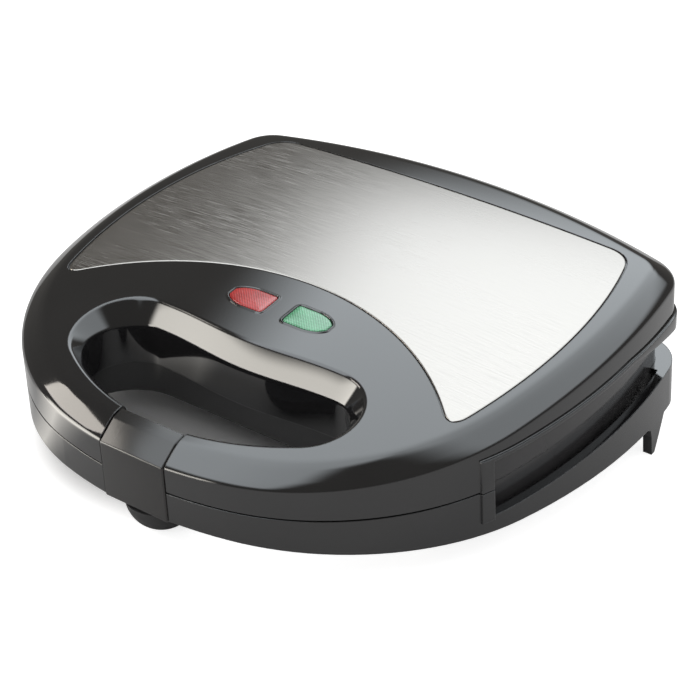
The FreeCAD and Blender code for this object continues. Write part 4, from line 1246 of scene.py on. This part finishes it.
@dataclass
class LampLens:
    """A tapering lamp lens, square towards the middle of the lid."""

    name: str
    side: int
    node: str
    slot: str
    inner: float = 5.2
    nose: float = 23.8
    taper: float = 8.5
    nose_cut: float = 0.6
    nose_bow: float = 1.6
    middle: float = -22.0
    half: float = 5.6
    corner: float = 1.5
    stem: float = 4.0
    side_top: float = 0.3
    bead: tuple[tuple[float, float], ...] = (
        (1.25, 0.25), (1.2, -0.1), (1.0, -0.32), (0.75, -0.42), (0.5, -0.36), (0.32, -0.16),
        (0.28, 0.5), (0.6, 0.8), (1.1, 0.6), (1.25, 0.25))
    shoulder: tuple[tuple[float, float], ...] = ((0.08, 0.0), (0.25, 0.2), (0.5, 0.32))
    face_inset: float = 0.9
    dome: tuple[tuple[float, float], ...] = ((1.0, 0.36), (0.8, 0.39), (0.6, 0.42), (0.4, 0.44),
                                             (0.2, 0.45), (0.05, 0.45))

    def outline(self, outset: float = 0.0) -> list[Vector]:
        """Draw the lens in plan, counter-clockwise.

        Args:
            outset: How far outside the lens the outline lies.

        Returns:
            Points in plan.
        """
        start, low, high = self.nose - self.taper, self.middle - self.half, self.middle + self.half
        bow = (Vector((start, high, 0)), Vector((self.nose - self.nose_cut, high - self.nose_cut, 0)),
               Vector((self.nose + self.nose_bow, self.middle, 0)))
        top = [curve_between(*bow, index / 10) for index in range(9)]
        bottom = [Vector((point.x, 2 * self.middle - point.y, 0)) for point in top]
        end = stride(Vector((self.inner, high, 0)), Vector((self.inner, low, 0)), 24)
        lower = stride(Vector((self.inner, low, 0)), Vector((start, low, 0)), 24)
        upper = stride(Vector((start, high, 0)), Vector((self.inner, high, 0)), 24)
        nose = (bottom + top[::-1])[1:-1]
        outline = rounded_outline([end, lower + nose + upper], self.corner, 6)
        return grown(mirrored(outline) if self.side < 0 else outline, outset)

    def centre(self) -> Vector:
        """Give the middle of the lens in plan."""
        return Vector((self.side * (self.inner + self.nose) / 2, self.middle, 0))

    def rim(self) -> bpy.types.Object:
        """Make the small bead round the lens window."""
        rings = [draped(self.outline(outset), CROWN, sunk) for outset, sunk in self.bead]
        return loft("lens_rim", rings, False, False)

    def build(self) -> None:
        """Build and dress the lens with a softly domed face."""
        plan = self.outline()
        rings = [draped(plan, CROWN, self.stem), draped(plan, CROWN, self.side_top)]
        rings += [draped(grown(plan, -inset), CROWN, -rise) for inset, rise in self.shoulder]
        inner = grown(plan, -self.face_inset)
        rings += [draped(towards(inner, self.centre(), share), CROWN, -rise) for share, rise in self.dome]
        settle(loft(self.name, rings), Body.LID, self.slot, MATERIALS[self.slot], self.node, smooth=40)


# ---------------------------------------------------------------- the latch

@dataclass
class LatchClip:
    """The sprung clip that holds the two halves of the handle together."""

    half_width: float = 15.7
    gap: float = 0.45
    front: float = -109.4
    bottom: float = -13.4
    shoulder: float = 11.0
    crest: tuple[float, float] = (-101.0, 17.4)
    back: tuple[float, float] = (-96.0, 18.8)
    skin: float = 2.6
    face_skin: float = 1.3
    roof_skin: float = 2.4
    edge_round: float = 0.7
    pivot: tuple[float, float] = (-99.5, 9.0)
    room: float = 3.0
    recess_gap: float = 1.6
    arch: tuple[tuple[float, float], ...] = ((-3.0, 3.5), (0.0, 4.6))
    arch_front: float = 1.3
    arch_rear: float = 4.2
    slot_low: float = 3.2
    knuckle_half: float = 8.0
    knuckle_radius: float = 3.0
    knuckle_faces: int = 32
    web_half: float = 2.6
    web_drop: float = 2.2
    hook_half: float = 12.0
    hook_depth: float = 1.3
    hook_height: float = 1.6
    hook_round: float = 0.2
    below: float = -1.0
    above: float = 60.0
    reach: float = 130.0

    def profile(self) -> list[tuple[float, float]]:
        """Draw the clip in side view.

        Returns:
            Corners as Y and Z.
        """
        lower = self.front + self.skin
        return [(self.front, self.bottom), (lower, self.bottom), (lower, self.shoulder - self.face_skin),
                (self.pivot[0], self.crest[1] - self.roof_skin), (self.back[0], self.back[1] - self.skin),
                self.back, self.crest, (self.front, self.shoulder)]

    def notch(self) -> bpy.types.Object:
        """Make the room that the cover leaves for the clip."""
        y, z = self.pivot
        recess = self.front + self.skin + self.recess_gap
        half = self.half_width + self.gap
        rear = self.back[0] + self.room
        notch = side_prism("latch_notch", [
            (-self.reach, self.below), (recess, self.below), (recess, z + self.arch_front),
            *((y + along, z + up) for along, up in self.arch),
            (rear, z + self.arch_rear), (rear, self.above), (-self.reach, self.above)], -half, half)
        slot = self.knuckle_half + self.gap
        carve(notch, block("knuckle_slot", (-slot, slot), (-self.reach, rear),
                           (z - self.slot_low, self.above - 1)), Carving.JOIN)
        return notch

    def hook(self) -> bpy.types.Object:
        """Make the hook that grips the base, at the clip's lower edge."""
        inside = self.front + self.skin
        hook = block("latch_hook", (-self.hook_half, self.hook_half),
                     (inside - self.hook_round, inside + self.hook_depth),
                     (self.bottom, self.bottom + self.hook_height))
        soften(hook, self.hook_round, 2)
        return hook

    def knuckle(self) -> bpy.types.Object:
        """Make the barrel round the pin and the web that carries it."""
        y, z = self.pivot
        circle = swing(Vector((y, z, 0)), self.knuckle_radius, 0, 2 * math.pi, self.knuckle_faces)
        barrel = side_prism("latch_knuckle", [tuple(point.xy) for point in circle],
                            -self.knuckle_half, self.knuckle_half)
        web = block("latch_web", (-self.knuckle_half, self.knuckle_half),
                    (y - self.web_half, y + self.web_half), (z, self.crest[1] - self.web_drop))
        return join([barrel, web])

    def build(self) -> None:
        """Build and dress the clip, with its hook and knuckle."""
        clip = side_prism("latch_cover", self.profile(), -self.half_width, self.half_width)
        soften(clip, self.edge_round, 4, 20)
        settle(join([clip, self.hook(), self.knuckle()]), Body.LATCH, "latch_black",
               MATERIALS["latch_black"], "latch_clip", smooth=35)


# ---------------------------------------------------------------- the carried-over nodes

class CarriedNodes:
    """The nodes of the construction model that keep their own mesh and get a finish."""

    def dress(self) -> None:
        """Give each node the finish that its slot in the record names."""
        for subpart in frame["record"]["subparts"]:
            node, slot = subpart["node"], subpart["material_slot"]
            for holder in frame["nodes"][node].material_slots:
                holder.material = MATERIALS[slot]
            log.info("%s: %s", node, MATERIALS[slot].name)


# ---------------------------------------------------------------- the studio

# A colour of light, fixed or worked out by nodes.
Light = tuple[float, float, float] | bpy.types.NodeSocket


@dataclass(frozen=True)
class Studio:
    """A white floor, a lamp at the left and large bright fields that show in reflections.

    Lengths are in metres, and azimuths and rises in degrees, counter-clockwise from X.  The edges of
    the ceiling field and the top of the low panel are soft: each fades over a span of one direction.
    """

    floor_size: float = 6.0
    floor_tone: float = 0.8
    floor_lift: float = 0.8
    shade_place: tuple[float, float] = (-0.035, -0.03)
    shade_reach: tuple[float, float] = (0.05, 0.08)
    fill: float = 0.86
    lamp_colour: tuple[float, float, float] = (1.0, 0.94, 0.86)
    lamp_azimuth: float = 207.0
    lamp_rise: float = 28.5
    lamp_distance: float = 1.7
    lamp_size: tuple[float, float] = (0.62, 0.44)
    lamp_power: float = 5.6
    low_azimuth: float = 228.0
    low_level: float = 8.0
    low_reach: tuple[float, float] = (0.08, 0.26)
    low_taper: float = 1.6
    low_top: tuple[float, float] = (0.15, 0.26)
    ceiling_left: tuple[float, float] = (-0.62, -0.54)
    ceiling_low: tuple[float, float] = (0.42, 0.58)
    ceiling_front: tuple[float, float] = (-0.2, 0.1)
    ceiling_right: tuple[float, float] = (0.08, -0.06)
    ceiling_span: tuple[float, float] = (-0.35, 0.35)
    ceiling_levels: tuple[float, float] = (3.4, 2.2)
    dim: float = 0.2
    cool: tuple[float, float, float] = (0.93, 1.0, 1.05)
    warm: tuple[float, float, float] = (1.04, 1.0, 0.92)

    def low_wedge(self, tree: bpy.types.NodeTree, x: bpy.types.NodeSocket,
                  y: bpy.types.NodeSocket) -> bpy.types.NodeSocket:
        """Mask the wedge at the front left, where a low bright panel stands.

        Args:
            tree: The node tree.
            x: The X of a place on the floor or of a direction.
            y: Its Y.

        Returns:
            The socket that is 1 inside the wedge.
        """
        turn = math.radians(self.low_azimuth)
        along = add_maths(tree, "ADD", add_maths(tree, "MULTIPLY", x, math.cos(turn)),
                          add_maths(tree, "MULTIPLY", y, math.sin(turn)))
        across = add_maths(tree, "SUBTRACT", add_maths(tree, "MULTIPLY", y, math.cos(turn)),
                           add_maths(tree, "MULTIPLY", x, math.sin(turn)))
        spread = add_maths(tree, "MULTIPLY", add_maths(tree, "ABSOLUTE", across, 0), self.low_taper)
        return add_range(tree, add_maths(tree, "SUBTRACT", along, spread), self.low_reach, (0, 1), True)

    def choose(self, tree: bpy.types.NodeTree, share: bpy.types.NodeSocket,
               first: Light, second: Light) -> bpy.types.NodeSocket:
        """Blend two colours of light.

        Args:
            tree: The node tree.
            share: How much of the second one is taken.
            first: The colour at 0, fixed or from a socket.
            second: The colour at 1.

        Returns:
            The colour socket.
        """
        blend = tree.nodes.new("ShaderNodeMix")
        blend.data_type = "RGBA"
        tree.links.new(share, blend.inputs["Factor"])
        ends = [socket for socket in blend.inputs if socket.type == "RGBA"]
        for socket, colour in zip(ends, (first, second)):
            if isinstance(colour, tuple):
                socket.default_value = (*colour, 1)
            else:
                tree.links.new(colour, socket)
        return next(socket for socket in blend.outputs if socket.type == "RGBA")

    def tinted(self, tree: bpy.types.NodeTree, level: bpy.types.NodeSocket,
               colour: tuple[float, float, float]) -> bpy.types.NodeSocket:
        """Give a level of light a colour.

        Args:
            tree: The node tree.
            level: The level.
            colour: The colour.

        Returns:
            The colour socket.
        """
        scale = tree.nodes.new("ShaderNodeVectorMath")
        scale.operation = "SCALE"
        scale.inputs[0].default_value = colour
        tree.links.new(level, scale.inputs["Scale"])
        return scale.outputs["Vector"]

    def floor(self) -> None:
        """Lay the floor: white to the camera by a painted glow, with the low panel standing on it in
        reflections.
        """
        bpy.ops.object.select_all(action="DESELECT")
        bpy.ops.mesh.primitive_plane_add(size=self.floor_size)
        floor = bpy.context.object
        floor.name = "floor"
        material = bpy.data.materials.new("floor_white")
        material.use_nodes = True
        tree = material.node_tree
        shader = tree.nodes["Principled BSDF"]
        shader.inputs["Base Color"].default_value = (*[self.floor_tone] * 3, 1)
        shader.inputs["Roughness"].default_value = 1.0
        shader.inputs["Specular IOR Level"].default_value = 0.0
        path = tree.nodes.new("ShaderNodeLightPath")
        place = tree.nodes.new("ShaderNodeTexCoord")
        split = tree.nodes.new("ShaderNodeSeparateXYZ")
        tree.links.new(place.outputs["Object"], split.inputs["Vector"])
        wedge = self.low_wedge(tree, split.outputs["X"], split.outputs["Y"])
        panel = add_maths(tree, "MULTIPLY", add_maths(tree, "MULTIPLY", wedge, self.low_level),
                          path.outputs["Is Glossy Ray"])
        seen = add_maths(tree, "MAXIMUM", path.outputs["Is Camera Ray"],
                         path.outputs["Is Transmission Ray"])
        # Painted light: for camera and transmission rays the floor glows up to floor_lift, which whitens
        # its shadow; within shade_reach of shade_place, under the press, the glow fades out and the
        # rendered shade shows.
        away = tree.nodes.new("ShaderNodeVectorMath")
        away.operation = "DISTANCE"
        away.inputs[1].default_value = (*self.shade_place, 0)
        tree.links.new(place.outputs["Object"], away.inputs[0])
        clear = add_range(tree, away.outputs["Value"], self.shade_reach, (0, self.floor_lift), True)
        lift = add_maths(tree, "MULTIPLY", seen, clear)
        tree.links.new(add_maths(tree, "ADD", panel, lift), shader.inputs["Emission Strength"])
        tree.links.new(self.choose(tree, path.outputs["Is Glossy Ray"], (1, 1, 1), self.warm),
                       shader.inputs["Emission Color"])
        floor.data.materials.append(material)
        log.info("floor: %.1f m wide", self.floor_size)

    def lamp(self) -> None:
        """Hang the lamp at the left, facing the press."""
        data = bpy.data.lights.new("left_lamp", "AREA")
        data.shape = "RECTANGLE"
        data.size, data.size_y = self.lamp_size
        data.energy = self.lamp_power
        data.color = self.lamp_colour
        lamp = bpy.data.objects.new("left_lamp", data)
        bpy.context.collection.objects.link(lamp)
        azimuth, rise = math.radians(self.lamp_azimuth), math.radians(self.lamp_rise)
        level = math.cos(rise)
        away = Vector((math.cos(azimuth) * level, math.sin(azimuth) * level, math.sin(rise)))
        lamp.location = away * self.lamp_distance
        lamp.rotation_euler = away.to_track_quat("Z", "Y").to_euler()
        log.info("left_lamp: %.1f W", self.lamp_power)

    def room(self, tree: bpy.types.NodeTree) -> bpy.types.NodeSocket:
        """Paint what the gloss reflects: a bright ceiling field, a low panel and dark walls.

        Args:
            tree: The world's node tree.

        Returns:
            The socket with the light by direction.
        """
        split = tree.nodes.new("ShaderNodeSeparateXYZ")
        place = tree.nodes.new("ShaderNodeTexCoord")
        tree.links.new(place.outputs["Generated"], split.inputs["Vector"])
        x, y, z = (split.outputs[axis] for axis in "XYZ")
        inside = add_maths(tree, "MULTIPLY", add_range(tree, x, self.ceiling_left, (0, 1), True),
                           add_range(tree, z, self.ceiling_low, (0, 1), True))
        away = add_maths(tree, "MAXIMUM", add_range(tree, y, self.ceiling_front, (0, 1), True),
                         add_range(tree, x, self.ceiling_right, (0, 1), True))
        level = add_range(tree, x, self.ceiling_span, self.ceiling_levels)
        ceiling = add_maths(tree, "MULTIPLY", add_maths(tree, "MULTIPLY", inside, away), level)
        low = add_maths(tree, "MULTIPLY", self.low_wedge(tree, x, y),
                        add_range(tree, z, self.low_top, (self.low_level, 0), True))
        both = tree.nodes.new("ShaderNodeVectorMath")
        tree.links.new(self.tinted(tree, ceiling, self.cool), both.inputs[0])
        tree.links.new(self.tinted(tree, add_maths(tree, "ADD", low, self.dim), self.warm), both.inputs[1])
        return both.outputs["Vector"]

    def surround(self) -> None:
        """Light the press evenly, with white behind it and the room in its reflections."""
        world = bpy.data.worlds.new("surround")
        bpy.context.scene.world = world
        world.use_nodes = True
        tree = world.node_tree
        background = tree.nodes["Background"]
        path = tree.nodes.new("ShaderNodeLightPath")
        lit = self.choose(tree, path.outputs["Is Glossy Ray"], (self.fill, self.fill, self.fill),
                          self.room(tree))
        seen = self.choose(tree, path.outputs["Is Camera Ray"], lit, (1, 1, 1))
        tree.links.new(seen, background.inputs["Color"])
        log.info("surround: fill %.2f", self.fill)

    def build(self) -> None:
        """Set up the whole studio."""
        self.floor()
        self.lamp()
        self.surround()
        bpy.context.scene.view_settings.view_transform = "Standard"


@dataclass(frozen=True)
class Viewpoint:
    """The camera: where it looks, from which side and how long its lens is.

    The aim is in millimetres from the middle of the construction model's box, the distance in metres.
    """

    azimuth: float = 38.227
    elevation: float = 28.202
    roll: float = 0.9227
    distance: float = 0.95666
    aim: tuple[float, float, float] = (9.87, 5.11, -3.9)
    lens: float = 123.56
    sensor: float = 36.0
    shift: tuple[float, float] = (-0.0002, 0.0048)
    clip_start: float = 0.01

    def build(self) -> None:
        """Place the camera and make it the scene's own."""
        low, high = CAD_BOX
        middle = (Vector(low) + Vector(high)) / 2
        target = middle + Vector(self.aim) * MM
        data = bpy.data.cameras.new("camera")
        data.lens = self.lens
        data.sensor_width = self.sensor
        data.shift_x, data.shift_y = self.shift
        data.clip_start = self.clip_start
        camera = bpy.data.objects.new("camera", data)
        bpy.context.collection.objects.link(camera)
        turn = (Matrix.Rotation(math.radians(self.azimuth), 4, "Z")
                @ Matrix.Rotation(math.radians(90 - self.elevation), 4, "X")
                @ Matrix.Rotation(math.radians(self.roll), 4, "Z"))
        camera.matrix_world = (Matrix.Translation(target) @ turn
                               @ Matrix.Translation((0, 0, self.distance)))
        bpy.context.scene.camera = camera
        log.info("camera: %.2f mm lens", self.lens)


# ---------------------------------------------------------------- everything in order


def main() -> None:
    """Build the press piece by piece, then the studio and the camera."""
    logging.basicConfig(level=logging.INFO, format="%(name)s: %(message)s")
    EFFECTS.update(moulded_skin=moulded_skin(), drawn_lines=drawn_lines())
    MATERIALS.update({slot: finish.make() for slot, finish in FINISHES.items()})
    CarriedNodes().dress()
    sheet = SteelSheet()
    lenses = [LampLens("red_lamp_lens", -1, "power_lens", "red_lens"),
              LampLens("green_lamp_lens", 1, "ready_lens", "green_lens")]
    clip = LatchClip()
    Lid().build(sheet, lenses, clip)
    sheet.build()
    for lens in lenses:
        lens.build()
    clip.build()
    Studio().build()
    Viewpoint().build()


if __name__ == "__main__":
    main()
